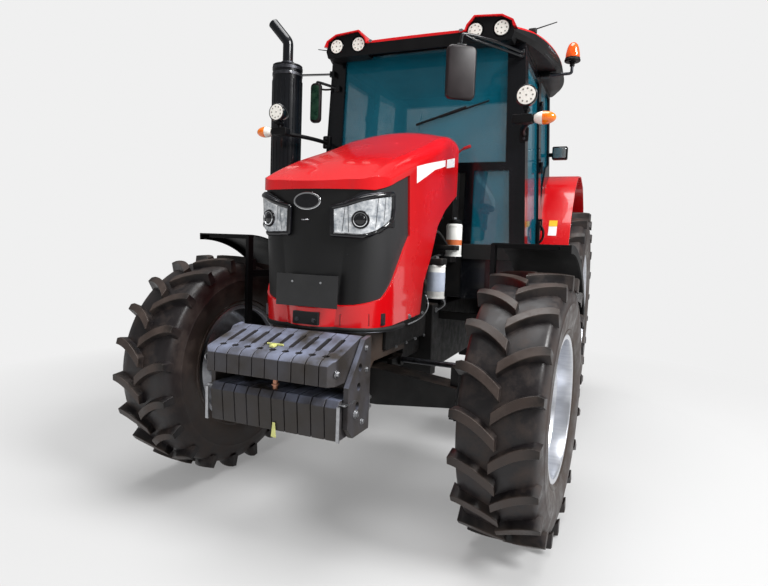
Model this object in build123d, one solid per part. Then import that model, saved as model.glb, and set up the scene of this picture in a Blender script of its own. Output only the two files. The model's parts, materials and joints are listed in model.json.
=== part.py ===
from build123d import *
import os
from math import asin, cos, pi, radians, sin, sqrt, tan

os.makedirs("parts", exist_ok=True)

# Four-wheel-drive farm tractor with a closed cab. Millimetres, Z up, ground at Z = 0.
# The tractor faces -Y and its left side is +X.

# ---- Driving sizes ----
front_axle_y = -1260.0
wheelbase = 2420.0
half_length = 2142.0          # weights to the eyes of the lower links
rear_axle_y = front_axle_y + wheelbase

front_track = 1890.0
front_radius = 650.0          # to the tips of the lugs
front_width = 382.0
front_flange_radius = 358.0
front_rim_width = 330.0
front_lugs = 20               # in each of the two rows

rear_track = 1650.0
rear_radius = 877.0
rear_width = 467.0
rear_flange_radius = 505.0
rear_rim_width = 414.0
rear_lugs = 23

flange_lip = 20.0             # rim flange stands above the bead seat
lug_height = 38.0
seat_clearance = 0.3          # curved seats and turning faces
hub_gap = 0.3                 # hub to the axle end it turns on

kingpin_x = 700.0
rest_steer = -3.4             # degrees: the front wheels stand turned a little to the right
knuckle_end_x = 800.0         # the front hubs turn on this face
rear_axle_end_x = 700.0       # and the rear hubs on this one

sheet = 12.0                  # bonnet and fender panels
glass_thickness = 6.0
door_gap = 6.0                # round each door


# ---- Shapes used in many places ----
def block(x0, x1, y0, y1, z0, z1):
    return Pos((x0 + x1) / 2, (y0 + y1) / 2, (z0 + z1) / 2) * Box(x1 - x0, y1 - y0, z1 - z0)


def outline(points, corner=0.0):
    if corner:
        return make_face(FilletPolyline(*points, radius=corner, close=True))
    return make_face(Polyline(*points, close=True))


# An outline in (y, z), pushed along X.
def side_prism(points, x0, x1, corner=0.0):
    plane = Plane(origin=(x0, 0, 0), x_dir=(0, 1, 0), z_dir=(1, 0, 0))
    return extrude(plane * outline(points, corner), amount=x1 - x0)


# An outline in (x, z), pushed along Y.
def front_prism(points, y0, y1, corner=0.0):
    plane = Plane(origin=(0, y1, 0), x_dir=(1, 0, 0), z_dir=(0, -1, 0))
    return extrude(plane * outline(points, corner), amount=y1 - y0)


# An outline in (x, y), pushed along Z.
def top_prism(points, z0, z1, corner=0.0):
    return extrude(Plane.XY.offset(z0) * outline(points, corner), amount=z1 - z0)


def bar(start, end, radius):
    first, last = Vector(*start), Vector(*end)
    return Plane(origin=first, z_dir=last - first) * Cylinder(
        radius, (last - first).length, align=(Align.CENTER, Align.CENTER, Align.MIN))


def flat_bar(start, end, width, thickness, side=(1, 0, 0)):
    first, last = Vector(*start), Vector(*end)
    return Plane(origin=first, x_dir=side, z_dir=last - first) * Box(
        thickness, width, (last - first).length, align=(Align.CENTER, Align.CENTER, Align.MIN))


def bent_tube(points, radius, bend):
    path = FilletPolyline(*points, radius=bend)
    return sweep(Plane(origin=path @ 0, z_dir=path % 0) * Circle(radius), path=path)


def both_sides(shape):
    return [shape, mirror(shape, about=Plane.YZ)]


# Turns a knuckle, or what it carries, about its kingpin; side is 1 on the left and -1 on the right.
def steered(shape, side):
    spot = Pos(side * kingpin_x, front_axle_y, 0)
    return spot * Rot(0, 0, rest_steer) * spot.inverse() * shape


def joined(pieces):
    whole = pieces[0]
    return whole.fuse(*pieces[1:]) if len(pieces) > 1 else whole


def save(shape, name):
    export_step(shape, f"parts/{name}.step")


# ---- Wheels ----
# A tyre about the X axis: a many-sided carcass with two rows of lugs that meet in a V.
def tyre(radius, width, seat, count):
    sides = count
    tread = radius - lug_height
    wall = tread - seat
    inner = (seat + seat_clearance) / cos(pi / sides)
    half = [
        (0.36 * width, inner),
        (0.49 * width, seat + 0.50 * wall),
        (0.43 * width, tread),
    ]
    ring = [(-x, r) for x, r in half] + [(x, r) for x, r in reversed(half)]

    def at(corner, step):
        x, r = ring[corner % len(ring)]
        turn = 2 * pi * (step % sides) / sides
        return (x, r * cos(turn), r * sin(turn))

    faces = []
    for step in range(sides):
        for corner in range(len(ring)):
            faces.append(Face(Wire.make_polygon([
                at(corner, step), at(corner, step + 1),
                at(corner + 1, step + 1), at(corner + 1, step)], close=True)))
    carcass = Solid(Shell(faces))

    #      across, along, half width: the middle line of one lug, centre to shoulder
    line = [
        (-0.015, -0.105, 0.036),
        (0.480, 0.050, 0.030),
    ]
    reach = max(abs(along) + half_lug for _, along, half_lug in line) * radius
    face_radius = sqrt(radius ** 2 - reach ** 2)
    lugs = []
    for side in (-1, 1):
        for step in range(count):
            turn = 2 * pi * (step + (0.25 if side > 0 else -0.25)) / count - pi / 2
            points = [(side * a * width, (b - h) * radius) for a, b, h in line]
            points += [(side * a * width, (b + h) * radius) for a, b, h in reversed(line)]
            plane = Plane(origin=(0, face_radius * cos(turn), face_radius * sin(turn)),
                          x_dir=(1, 0, 0), z_dir=(0, cos(turn), sin(turn)))
            lugs.append(extrude(plane * outline(points), amount=-(lug_height + 14)))
    return carcass.fuse(*lugs)


front_tyre = tyre(front_radius, front_width, front_flange_radius - flange_lip, front_lugs)
rear_tyre = tyre(rear_radius, rear_width, rear_flange_radius - flange_lip, rear_lugs)
# Each axle stands as high as the lowest lugs of its tyres set it.
front_axle_z = -front_tyre.bounding_box().min.Z
rear_axle_z = -rear_tyre.bounding_box().min.Z


# A rim with its disc and hub, about the X axis; the hub's outer face is towards +X.
def rim(flange, width, hub_radius, hub_in, hub_out, disc_x, cap_radius):
    seat = flange - flange_lip
    bed = seat - 26
    half = width / 2
    lip = 12
    band = [
        (-half, flange), (-half + lip, flange), (-half + lip, seat), (-0.30 * width, seat),
        (-0.16 * width, bed), (0.10 * width, bed), (0.24 * width, seat), (half - lip, seat),
        (half - lip, flange), (half, flange), (half, seat - 10), (0.26 * width, seat - 12),
        (0.12 * width, bed - 12), (-0.18 * width, bed - 12), (-0.32 * width, seat - 12),
        (-half, seat - 10),
    ]
    disc = [
        (disc_x - 30, hub_radius - 10), (disc_x - 8, 0.62 * flange), (0.02 * width, bed - 2),
        (0.02 * width + 16, bed - 2), (disc_x + 8, 0.62 * flange), (disc_x - 14, hub_radius - 10),
    ]
    hub = [(hub_in, 0), (hub_in, hub_radius), (hub_out, hub_radius), (hub_out, cap_radius),
           (hub_out + 34, cap_radius - 12), (hub_out + 34, 0)]
    solids = [revolve(Plane.XY * outline(shape), axis=Axis.X) for shape in (band, disc, hub)]
    return joined(solids)


front_wheel_x = front_track / 2
rear_wheel_x = rear_track / 2
front_hub_in = knuckle_end_x + hub_gap - front_wheel_x
rear_hub_in = rear_axle_end_x + hub_gap - rear_wheel_x

front_rim = rim(front_flange_radius, front_rim_width, 118, front_hub_in, 34, 10, 84)
rear_rim = rim(rear_flange_radius, rear_rim_width, 150, rear_hub_in, 60, 30, 96)

for name, shape in (("tyre_front", front_tyre), ("rim_front", front_rim)):
    left, right = both_sides(Pos(front_wheel_x, front_axle_y, front_axle_z) * shape)
    save(steered(left, 1), name + "_left")
    save(steered(right, -1), name + "_right")
for name, shape in (("tyre_rear", rear_tyre), ("rim_rear", rear_rim)):
    left, right = both_sides(Pos(rear_wheel_x, rear_axle_y, rear_axle_z) * shape)
    save(left, name + "_left")
    save(right, name + "_right")

# ---- Front axle, knuckles and steering ----
beam_half_height = 88.0
beam_end_top = 36.0           # lower at its ends, where the steering arms swing over it
yoke_x = 600.0                # inner faces of the yokes that hold the knuckles
yoke_half = 46.0
ear_inner = 105.0             # from the axle's height to the facing ear
ear_thickness = 32.0
knuckle_gap = 0.5             # between the knuckle and each ear
rod_radius = 16.0
rod_y = front_axle_y + 185.0
rod_eye_y = rod_y - 15.0      # over the arms of the knuckles
rod_shift = (front_axle_y - rod_eye_y) * sin(radians(rest_steer))
arm_top = front_axle_z + 74.0
rod_z = arm_top + 0.5 + 22.0
pivot_z = front_axle_z - 8.0  # the axle rocks about this line, on the drive shaft's axis
nose_radius = 62.0
trunnion_radius = 48.0
nose_rear_y = -950.0


def front_axle():
    z = front_axle_z
    y = front_axle_y
    beam = front_prism([(-yoke_x, z - 66), (-170, z - beam_half_height - 20), (170, z - beam_half_height - 20),
                        (yoke_x, z - 66), (yoke_x, z + beam_end_top), (170, z + beam_half_height),
                        (-170, z + beam_half_height), (-yoke_x, z + beam_end_top)], y - 78, y + 78)
    case = bar((-95, y, pivot_z), (95, y, pivot_z), 118)
    nose = bar((0, y, pivot_z), (0, nose_rear_y, pivot_z), nose_radius)
    trunnion = bar((0, y - 190, pivot_z), (0, y, pivot_z), trunnion_radius)
    pieces = [beam, case, nose, trunnion]
    for s in (-1, 1):
        for low in (z - ear_inner - ear_thickness, z + ear_inner):
            ear = sorted((s * (yoke_x - 12), s * kingpin_x))
            pieces.append(block(*ear, y - 62, y + 62, low, low + ear_thickness))
            pieces.append(Pos(s * kingpin_x, y, low + ear_thickness / 2) * Cylinder(62, ear_thickness))
        yoke = sorted((s * (yoke_x - 40), s * yoke_x))
        pieces.append(block(*yoke, y - yoke_half, y + yoke_half,
                            z - ear_inner - ear_thickness, z + ear_inner + ear_thickness))
    barrel = bar((-205, rod_y, rod_z), (205, rod_y, rod_z), 34)
    pieces.append(barrel)
    for x in (-190, 162):
        pieces.append(block(x, x + 28, y + 60, rod_y + 10, z + 40, rod_z + 20))
    whole = joined(pieces)
    whole -= bar((-260, rod_y, rod_z), (260, rod_y, rod_z), rod_radius + seat_clearance)
    for s in (-1, 1):
        whole -= Pos(s * kingpin_x, y, z) * Cylinder(26 + seat_clearance, 400)
    return whole


def steering_rod():
    eye_x = kingpin_x - 20
    rod = bar((40 - eye_x, rod_y, rod_z), (eye_x - 40, rod_y, rod_z), rod_radius)
    eyes = [Pos(s * eye_x, rod_eye_y, rod_z) * Cylinder(30, 42) for s in (-1, 1)]
    necks = [bar((s * (eye_x - 50), rod_y, rod_z), (s * (eye_x - 8), rod_y - 13, rod_z), 15) for s in (-1, 1)]
    return Pos(rod_shift, 0, 0) * joined([rod] + eyes + necks)


def knuckle():
    z, y = front_axle_z, front_axle_y
    half = ear_inner - knuckle_gap
    post = Pos(kingpin_x, y, z) * Cylinder(60, 2 * half)
    pins = Pos(kingpin_x, y, z) * Cylinder(26, 2 * (ear_inner + ear_thickness + 4))
    housing = bar((kingpin_x, y, z), (knuckle_end_x, y, z), 96)
    arm = block(kingpin_x - 42, kingpin_x + 6, y + 40, y + 175, arm_top - 30, arm_top)
    arm_end = Pos(kingpin_x - 20, rod_eye_y, arm_top - 15) * Cylinder(32, 30)
    stalk = block(knuckle_end_x - 32, knuckle_end_x, y - 26, y + 26, z + 40, z + 150)
    return joined([post, pins, housing, arm, arm_end, stalk])


# The mudguard over each front wheel turns with the knuckle.
guard_radius = 780.0
guard_inner_x = 738.0
guard_outer_x = 1112.0
guard_from = 92.0             # degrees, from level behind the wheel, over the top
guard_to = 24.0
guard_sheet = 8.0
guard_stay = 44.2             # degrees: the second stay of each mudguard


def front_fender():
    y, z = front_axle_y, front_axle_z
    sector = 400
    far = guard_radius * 3
    wedge = side_prism(
        [(y, z)] + [(y + far * cos(radians(guard_to + (guard_from - guard_to) * i / 4)),
                     z + far * sin(radians(guard_to + (guard_from - guard_to) * i / 4)))
                    for i in range(5)], guard_inner_x, guard_outer_x)
    ring = bar((guard_inner_x, y, z), (guard_outer_x, y, z), guard_radius)
    ring -= bar((guard_inner_x - 1, y, z), (guard_outer_x + 1, y, z), guard_radius - guard_sheet)
    lip = bar((guard_outer_x - 10, y, z), (guard_outer_x, y, z), guard_radius)
    lip -= bar((guard_outer_x - 11, y, z), (guard_outer_x + 1, y, z), guard_radius - 40)
    guard = (ring + lip) & wedge
    post_x = guard_inner_x
    stay_y = y + (guard_radius - guard_sheet / 2) * cos(radians(guard_stay))
    stay_z = z + (guard_radius - guard_sheet / 2) * sin(radians(guard_stay))
    pieces = [guard]
    pieces.append(block(post_x - 11, max(knuckle_end_x, post_x + 20), y - 22, y + 22, z + 150.0, z + 176))
    pieces.append(block(post_x - 11, post_x + 11, y - 22, y + 22, z + 150, z + guard_radius - 4))
    pieces.append(block(post_x, guard_outer_x - 60, y - 8, y + 22, z + guard_radius - 26,
                        z + guard_radius - 6))
    pieces.append(flat_bar((post_x, y + 5, stay_z + 5), (post_x, stay_y, stay_z), 40, 22))
    pieces.append(block(post_x - 11, guard_outer_x - 60, stay_y - 22, stay_y + 2, stay_z - 13, stay_z + 11))
    return joined(pieces)


save(front_axle(), "front_axle")
save(steering_rod(), "steering_rod")
for name, shape in (("knuckle", knuckle()), ("fender_front", front_fender())):
    left, right = both_sides(shape)
    save(steered(left, 1), name + "_left")
    save(steered(right, -1), name + "_right")


# ---- Driveline: front support, engine, gearbox and rear axle ----
support_front_y = 300.0 - half_length
engine_front_y = -1300.0
engine_rear_y = -640.0
engine_low_z = 830.0
gearbox_rear_y = 900.0


def front_support():
    y = front_axle_y
    tongue_low = rod_z + 44
    body = side_prism([(support_front_y, 700), (support_front_y, 975), (engine_front_y - 0.5, 975),
                       (engine_front_y - 0.5, engine_low_z - 0.5), (nose_rear_y - 15, engine_low_z - 0.5),
                       (nose_rear_y - 15, tongue_low), (y - 150, tongue_low), (y - 260, 700)], -172, 172)
    front_bracket = block(-95, 95, y - 184, y - 124, pivot_z - 75, tongue_low + 20)
    rear_bracket = block(-100, 100, nose_rear_y - 75, nose_rear_y - 15, pivot_z - 90, tongue_low + 20)
    whole = joined([body, front_bracket, rear_bracket])
    whole -= bar((0, y - 400, pivot_z), (0, y - 100, pivot_z), trunnion_radius + seat_clearance)
    return whole - bar((0, y + 100, pivot_z), (0, y + 500, pivot_z), nose_radius + seat_clearance)


def engine():
    head = block(-190, 190, engine_front_y, engine_rear_y - 0.5, engine_low_z, 1420)
    pan = block(-150, 150, nose_rear_y + 20, engine_rear_y - 0.5, 715, engine_low_z)
    return joined([head, pan])


def radiator():
    return joined([block(-285, 285, -1600, -1500, 985, 1560), block(-240, 240, -1500, -1430, 1010, 1500),
                   block(-250, 250, -1590, -1420, 975.5, 990)])


def gearbox():
    bell = block(-235, 235, engine_rear_y, engine_rear_y + 110, 560, 1030)
    box = block(-180, 180, engine_rear_y + 110, gearbox_rear_y - 0.5, 560, 1000)
    return joined([bell, box])


def drive_shaft():
    return bar((0, nose_rear_y + 0.5, pivot_z), (0, engine_rear_y - 0.5, pivot_z), 34)


def rear_axle():
    y, z = rear_axle_y, rear_axle_z
    centre = block(-235, 235, gearbox_rear_y, y + 260, 540, 1090)
    pieces = [centre]
    for s in (-1, 1):
        pieces.append(bar((s * 200, y, z), (s * (rear_axle_end_x - 180), y, z), 128))
        pieces.append(bar((s * (rear_axle_end_x - 200), y, z), (s * rear_axle_end_x, y, z), 165))
    return joined(pieces)


save(front_support(), "front_support")
save(engine(), "engine")
save(radiator(), "radiator")
save(gearbox(), "gearbox")
save(drive_shaft(), "front_drive_shaft")
save(rear_axle(), "rear_axle")

# ---- Front weights ----
weight_count = 10
weight_pitch = 64.0
weight_thickness = 60.0
weight_back_y = support_front_y - 23.0
weight_long = 277.0           # an upper weight, front to back
carrier_half = 346.0


def weight_row(points, slots):
    row = []
    for i in range(weight_count):
        x = (i - (weight_count - 1) / 2) * weight_pitch
        piece = side_prism(points, x - weight_thickness / 2, x + weight_thickness / 2)
        for y0, y1, z0, z1 in slots:
            piece -= block(x - 40, x + 40, y0, y1, z0, z1)
        row.append(piece)
    return Compound(children=[p for p in row])


def weight_carrier():
    plate = block(-carrier_half, carrier_half, weight_back_y + 0.5, support_front_y - 0.5, 600, 990)
    tail = block(-150, 150, weight_back_y + 10, support_front_y - 0.5, 690, 990)
    y = weight_back_y
    side = side_prism([(y + 22, 1002), (y - 40, 992), (y - 187, 812), (y - 187, 640), (y - 135, 590),
                       (y + 22, 590)], carrier_half - 22, carrier_half)
    for back, z in ((80, 880), (90, 800), (100, 720)):
        side -= bar((carrier_half - 40, y - back, z), (carrier_half + 10, y - back, z), 17)
    return joined([plate, tail] + both_sides(side))


back = weight_back_y
front = weight_back_y - weight_long
save(weight_row([(front, 828), (front, 912), (front + 20, 930), (back - 15, 1002), (back, 996), (back, 790),
                 (back - 125, 790), (back - 145, 828)], [(front + 57, front + 157, 862, 902)]), "weights_upper")
save(weight_row([(back - 213, 592), (back - 227, 735), (back - 207, 762), (back, 762), (back, 592)], []),
     "weights_lower")
save(weight_carrier(), "weight_carrier")

# ---- Bonnet ----
bonnet_rear_y = -578.0
bonnet_hinge_y = -600.0
bonnet_hinge_z = 1990.0
bonnet_half = 338.0


# Cross sections of the bonnet from its nose to its rear: the heights of the side's top edge,
# of the crest near it and of the crown in the middle.
bonnet_low_z = 1010.0
bonnet_crest_x = 262.0
bonnet_sections = [
    # y,     side,   crest,  crown
    (-1960.0, 1575.0, 1592.0, 1600.0),
    (-1805.0, 1642.0, 1668.0, 1678.0),
    (-1620.0, 1704.0, 1760.0, 1776.0),
    (-1430.0, 1762.0, 1836.0, 1856.0),
    (-1000.0, 1905.0, 1980.0, 2006.0),
    (-578.0, 2010.0, 2074.0, 2103.0),
]


def bonnet_volume(inset):
    wires = []
    for y, side_z, crest_z, crown_z in bonnet_sections:
        half = bonnet_half - inset
        low = bonnet_low_z - (20 if inset else 0)
        edge = (half, side_z - inset)
        crest = (bonnet_crest_x, crest_z - inset)
        top = crown_z - inset
        mid = (0.24 * crest[0] + 0.76 * half, 0.4 * edge[1] + 0.6 * crest[1])
        lines = [
            Line((-half, low), (half, low)),
            Line((half, low), edge),
            ThreePointArc(edge, mid, crest),
            ThreePointArc(crest, (0, top), (-crest[0], crest[1])),
            ThreePointArc((-crest[0], crest[1]), (-mid[0], mid[1]), (-edge[0], edge[1])),
            Line((-edge[0], edge[1]), (-half, low)),
        ]
        plane = Plane(origin=(0, y, 0), x_dir=(1, 0, 0), z_dir=(0, -1, 0))
        wires.append(plane * make_face(lines))
    return loft(wires, ruled=False)


# The nose in plan, low and high: its front, how far its middle bows out and its corners' radius.
nose_sections = [
    # z,    front,   bow, corner
    (980.0, -1822.0, 46.0, 215.0),
    (1640.0, -1808.0, 26.0, 150.0),
]


def nose_volume(inset):
    sections = []
    for z, front, bow, corner_radius in nose_sections:
        half = bonnet_half - inset
        f = front + inset
        corner = corner_radius - inset
        rear = bonnet_rear_y + (40 if inset else 0)
        k = corner * (1 - cos(radians(45)))
        lines = [
            Line((-half, rear), (-half, f + bow + corner)),
            ThreePointArc((-half, f + bow + corner), (-half + k, f + bow + k), (-half + corner, f + bow)),
            ThreePointArc((-half + corner, f + bow), (0, f), (half - corner, f + bow)),
            ThreePointArc((half - corner, f + bow), (half - k, f + bow + k), (half, f + bow + corner)),
            Line((half, f + bow + corner), (half, rear)),
            Line((half, rear), (-half, rear)),
        ]
        sections.append(Plane.XY.offset(z) * make_face(lines))
    low, high = sections
    body = loft([low, high])
    crown = extrude(high, amount=500)
    return body + crown


# Everything of the bonnet lies above and before this line, in (y, z).
bonnet_side_line = [
    (-2300, 1010), (-1725, 1010), (-1190, 1030), (-1150, 1200), (-1047, 1328), (-939, 1517),
    (-806, 1618), (-559, 1731), (-400, 1731), (-400, 2400), (-2300, 2400),
]
# The dark grille: the nose and the front part of both sides, set back below the red lip.
grille_set_back = 10.0
grille_line = [
    (-2300, 1096), (-1816, 1096), (-1668, 1148), (-1462, 1381), (-1396, 1446), (-1430, 1744),
    (-1600, 1690), (-1740, 1640), (-2300, 1640),
]


def bonnet_shell(inset):
    outer = bonnet_volume(inset) & nose_volume(inset)
    inner = bonnet_volume(inset + sheet) & nose_volume(inset + sheet)
    return (outer - inner) & side_prism(bonnet_side_line, -500, 500)


grille_zone = side_prism(grille_line, -500, 500)


def headlamps():
    lamp = front_prism([(104, 1430), (104, 1556), (250, 1630), (345, 1636), (345, 1488), (250, 1430)],
                       -1900, -1590, 10)
    zone = (nose_volume(-4) - nose_volume(sheet + 16)) & bonnet_volume(4)
    return joined([lamp & zone])


lamp_left, lamp_right = both_sides(headlamps())
save((bonnet_shell(grille_set_back) & grille_zone) - lamp_left - lamp_right, "grille")
save(Compound(children=[lamp_left, lamp_right]), "headlamps")

# ---- Cab ----
cab_front_y = -390.0
cab_rear_y = 890.0
cab_low_z = 1060.0
cab_top_z = 2725.0
cab_low_half = 768.0
cab_top_half = 682.0
pillar = 58.0
door_front_y = -332.0
door_rear_y = 288.0
door_low_z = 1090.0
door_top_z = 2655.0
window_top_z = door_top_z - 5.0
door_glass_top_z = door_top_z - 50.0
side_lean = (cab_low_half - cab_top_half) / (cab_top_z - cab_low_z)


def cab_half(z):
    return cab_low_half - side_lean * (z - cab_low_z)



def cab_volume(inset, extra=0.0):
    low = [(-cab_low_half + inset, cab_front_y + inset), (cab_low_half - inset, cab_front_y + inset),
           (cab_low_half - inset, cab_rear_y - inset), (-cab_low_half + inset, cab_rear_y - inset)]
    high = [(-cab_top_half + inset, cab_front_y + inset), (cab_top_half - inset, cab_front_y + inset),
            (cab_top_half - inset, cab_rear_y - inset), (-cab_top_half + inset, cab_rear_y - inset)]
    k = extra * side_lean
    low = [(x + (k if x > 0 else -k), y) for x, y in low]
    high = [(x + (-k if x > 0 else k), y) for x, y in high]
    return loft([Plane.XY.offset(cab_low_z - extra) * outline(low),
                 Plane.XY.offset(cab_top_z + extra) * outline(high)], ruled=True)


# Rear wheel arch: the outer line of the rear fender in (y, z).
arch = [
    (290, 1120), (304, 1250), (348, 1460), (455, 1690), (640, 1900), (880, 2022), (1160, 2052),
    (1460, 1995), (1720, 1830), (1880, 1600), (1915, 1440),
]
arch_low_z = 1104.0
fender_inner_x = 560.0
fender_outer_x = 955.0


def arch_line(depth):
    points = []
    for y, z in arch:
        dy, dz = y - rear_axle_y, z - rear_axle_z
        far = sqrt(dy * dy + dz * dz)
        points.append((rear_axle_y + dy * (far - depth) / far, rear_axle_z + dz * (far - depth) / far))
    return points


def arch_solid(depth, x0, x1):
    line = arch_line(depth)
    return side_prism(line + [(2050, 1300), (2050, arch_low_z), (line[0][0], arch_low_z)], x0, x1)


screen_top_z = cab_top_z - 20.0
window_front = [(-598, 1960), (598, 1960), (574, screen_top_z), (-574, screen_top_z)]
window_low = [(395, 1330), (655, 1330), (622, 1905), (395, 1905)]
quarter_line = [(352, 1720), (470, 1890), (660, 2062), (830, 2110), (830, window_top_z),
                (352, window_top_z)]


rear_window = [(-500, 1430), (500, 1430), (500, 2075), (590, 2110), (590, window_top_z),
               (-590, window_top_z), (-590, 2110), (-500, 2075)]


# Door hinges: heights of the joint between the frame's barrel, above, and the door's, below.
hinge_heights = (1590.0, 2010.0, 2450.0)
hinge_radius = 12.0
hinge_out = 13.0              # from the cab's side to the hinge line
hinge_y = door_rear_y - door_gap / 2
barrel_length = 42.0
barrel_gap = 0.5


def hinge_barrels(upper):
    pieces = []
    for z in hinge_heights:
        low, high = (z, z + barrel_length) if upper else (z - barrel_length - barrel_gap, z - barrel_gap)
        pieces.append(bar((cab_half(low) + hinge_out, hinge_y, low),
                          (cab_half(high) + hinge_out, hinge_y, high), hinge_radius))
        near = cab_half(low) - 6
        if upper:
            pieces.append(block(near, near + 18, hinge_y + 5, hinge_y + 52, low + 1, high - 1))
        else:
            pieces.append(block(near, near + 18, hinge_y - 48, hinge_y - 5, low + 1, high - 1))
    return pieces


def cab_frame():
    shell = cab_volume(0) - cab_volume(pillar, 5)
    shell -= front_prism(window_front, cab_front_y - 50, cab_front_y + 200)
    for s in (1, -1):
        shell -= front_prism([(s * x, z) for x, z in window_low], cab_front_y - 50, cab_front_y + 200)
    shell -= front_prism([(-340, 1000), (340, 1000), (340, 1895), (-340, 1895)],
                         cab_front_y - 50, cab_front_y + 200)
    shell -= block(-900, 900, door_front_y, door_rear_y, door_low_z, door_top_z)
    shell -= side_prism(quarter_line, -900, 900)
    shell -= front_prism(rear_window, cab_rear_y - 200, cab_rear_y + 50)
    # The rear wheels take the lower rear corners; the fenders close the cab there.
    for s in (1, -1):
        notch = side_prism([(arch[0][0], 1000)] + arch_line(0)[:7] + [(1160, 1000)],
                           min(s * fender_inner_x, s * 900), max(s * fender_inner_x, s * 900))
        shell -= notch
    left = hinge_barrels(True)
    return joined([shell] + left + [mirror(piece, about=Plane.YZ) for piece in left])


def door():
    zone = block(0, 900, door_front_y + door_gap, door_rear_y - door_gap, door_low_z + door_gap,
                 door_top_z - door_gap)
    panel = (cab_volume(0) - cab_volume(42, 5)) & zone
    window = side_prism([(door_front_y + 55, 1180), (door_rear_y - 50, 1180), (door_rear_y - 50, door_glass_top_z),
                         (door_front_y + 55, door_glass_top_z)], 0, 900)
    return joined([panel - window] + hinge_barrels(False))


def door_glass():
    pane = (cab_volume(16) - cab_volume(16 + glass_thickness, 5))
    zone = side_prism([(door_front_y + 55, 1180), (door_rear_y - 50, 1180), (door_rear_y - 50, door_glass_top_z),
                       (door_front_y + 55, door_glass_top_z)], 0, 900)
    return pane & zone


def cab_glass():
    pane = cab_volume(16) - cab_volume(16 + glass_thickness, 5)
    zones = [front_prism(window_front, cab_front_y - 50, cab_front_y + 200)]
    for s in (1, -1):
        zones.append(front_prism([(s * x, z) for x, z in window_low], cab_front_y - 50, cab_front_y + 200))
        zones.append(side_prism(quarter_line, min(0, s * 900), max(0, s * 900)))
    zones.append(front_prism(rear_window, cab_rear_y - 200, cab_rear_y + 50))
    return Compound(children=[pane & zone for zone in zones])


def cab_floor():
    side = fender_inner_x
    half = cab_low_half - pillar - 5
    deck = block(-half, half, cab_front_y + pillar + 0.5, 280, cab_low_z, cab_low_z + 24)
    rear_deck = block(-side, side, 280, cab_rear_y - pillar - 0.5, cab_low_z, cab_low_z + 24)
    step = block(-side, side, 330, cab_rear_y - pillar - 0.5, cab_low_z + 24, 1400)
    mounts = [block(x - 60, x + 60, y - 60, y + 60, 1000.5, cab_low_z) for x in (-115, 115)
              for y in (-200, 700)]
    return joined([deck, rear_deck, step] + mounts)


# The bonnet swings on two pins in brackets on the firewall.
bonnet_pin_radius = 12.0
bracket_in_x, bracket_out_x = 118.0, 138.0


def firewall():
    whole = joined([block(-338, 338, cab_front_y + 2, cab_front_y + 40, cab_low_z + 24.5, 1893),
                    block(-300, 300, -520, cab_front_y + 2, 1300, 1890)]
                   + [block(min(s * bracket_in_x, s * bracket_out_x), max(s * bracket_in_x, s * bracket_out_x),
                            bonnet_hinge_y - 26, -510, 1860, bonnet_hinge_z + 24) for s in (-1, 1)])
    return whole - bar((-300, bonnet_hinge_y, bonnet_hinge_z), (300, bonnet_hinge_y, bonnet_hinge_z),
                       bonnet_pin_radius + seat_clearance)


def bonnet_lugs():
    lugs = []
    for s in (-1, 1):
        x0, x1 = sorted((s * (bracket_out_x + 0.5), s * (bracket_out_x + 20)))
        lugs.append(block(x0, x1, bonnet_hinge_y - 22, bonnet_hinge_y + 20, bonnet_hinge_z - 22, 2200))
        lugs.append(bar((s * (bracket_in_x - 4), bonnet_hinge_y, bonnet_hinge_z),
                        (s * (bracket_out_x + 10), bonnet_hinge_y, bonnet_hinge_z), bonnet_pin_radius))
    return joined(lugs) & bonnet_volume(3)


def rear_fender():
    sheet_part = arch_solid(0, fender_inner_x, fender_outer_x) - arch_solid(
        sheet, fender_inner_x - 1, fender_outer_x + 1)
    wall = arch_solid(0, fender_inner_x, fender_inner_x + 12)
    whole = joined([sheet_part, wall])
    return whole - block(500, 1000, 1400, 2200, 1000, 1430)


save(joined([bonnet_shell(0) - grille_zone - lamp_left - lamp_right, bonnet_lugs()]), "bonnet")
save(cab_frame(), "cab_frame")
save(cab_floor(), "cab_floor")
save(firewall(), "firewall")
save(cab_glass(), "cab_glass")
for name, shape in (("door", door()), ("door_glass", door_glass()), ("fender_rear", rear_fender())):
    left, right = both_sides(shape)
    save(left, name + "_left")
    save(right, name + "_right")


lamp_spots = (399.0, 563.0)
lamp_z = 2734.0
lamp_back_y = -530.0
lamp_radius = 52.0

roof_half = cab_low_half + 62.0
roof_low_z = cab_top_z - 34.5
visor_y = -560.0
visor_low_z = cab_top_z - 65.0
# Cross sections of the roof, front to rear: how much narrower than its widest, and the heights
# of its shoulder and crown above the top of the cab. Below the shoulder it is black.
roof_sections = [
    # y,    narrower, shoulder, crown
    (visor_y, 210.0, 16.0, 26.0),
    (-300.0, 92.0, 52.0, 96.0),
    (100.0, 14.0, 68.0, 165.0),
    (500.0, 0.0, 66.0, 182.0),
    (940.0, 110.0, 34.0, 70.0),
]


def roof_volume():
    stations = []
    for y, narrower, shoulder, crown in roof_sections:
        half = roof_half - narrower
        side = [(half - 26, roof_low_z), (half, roof_low_z + 24), (half - 16, cab_top_z + shoulder)]
        lines = [Line((-side[0][0], roof_low_z), side[0]), Line(side[0], side[1]), Line(side[1], side[2]),
                 ThreePointArc(side[2], (0, cab_top_z + crown), (-side[2][0], side[2][1])),
                 Line((-side[2][0], side[2][1]), (-side[1][0], side[1][1])),
                 Line((-side[1][0], side[1][1]), (-side[0][0], roof_low_z))]
        plane = Plane(origin=(0, y, 0), x_dir=(1, 0, 0), z_dir=(0, -1, 0))
        stations.append(plane * make_face(lines))
    return loft(stations, ruled=False)


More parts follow.
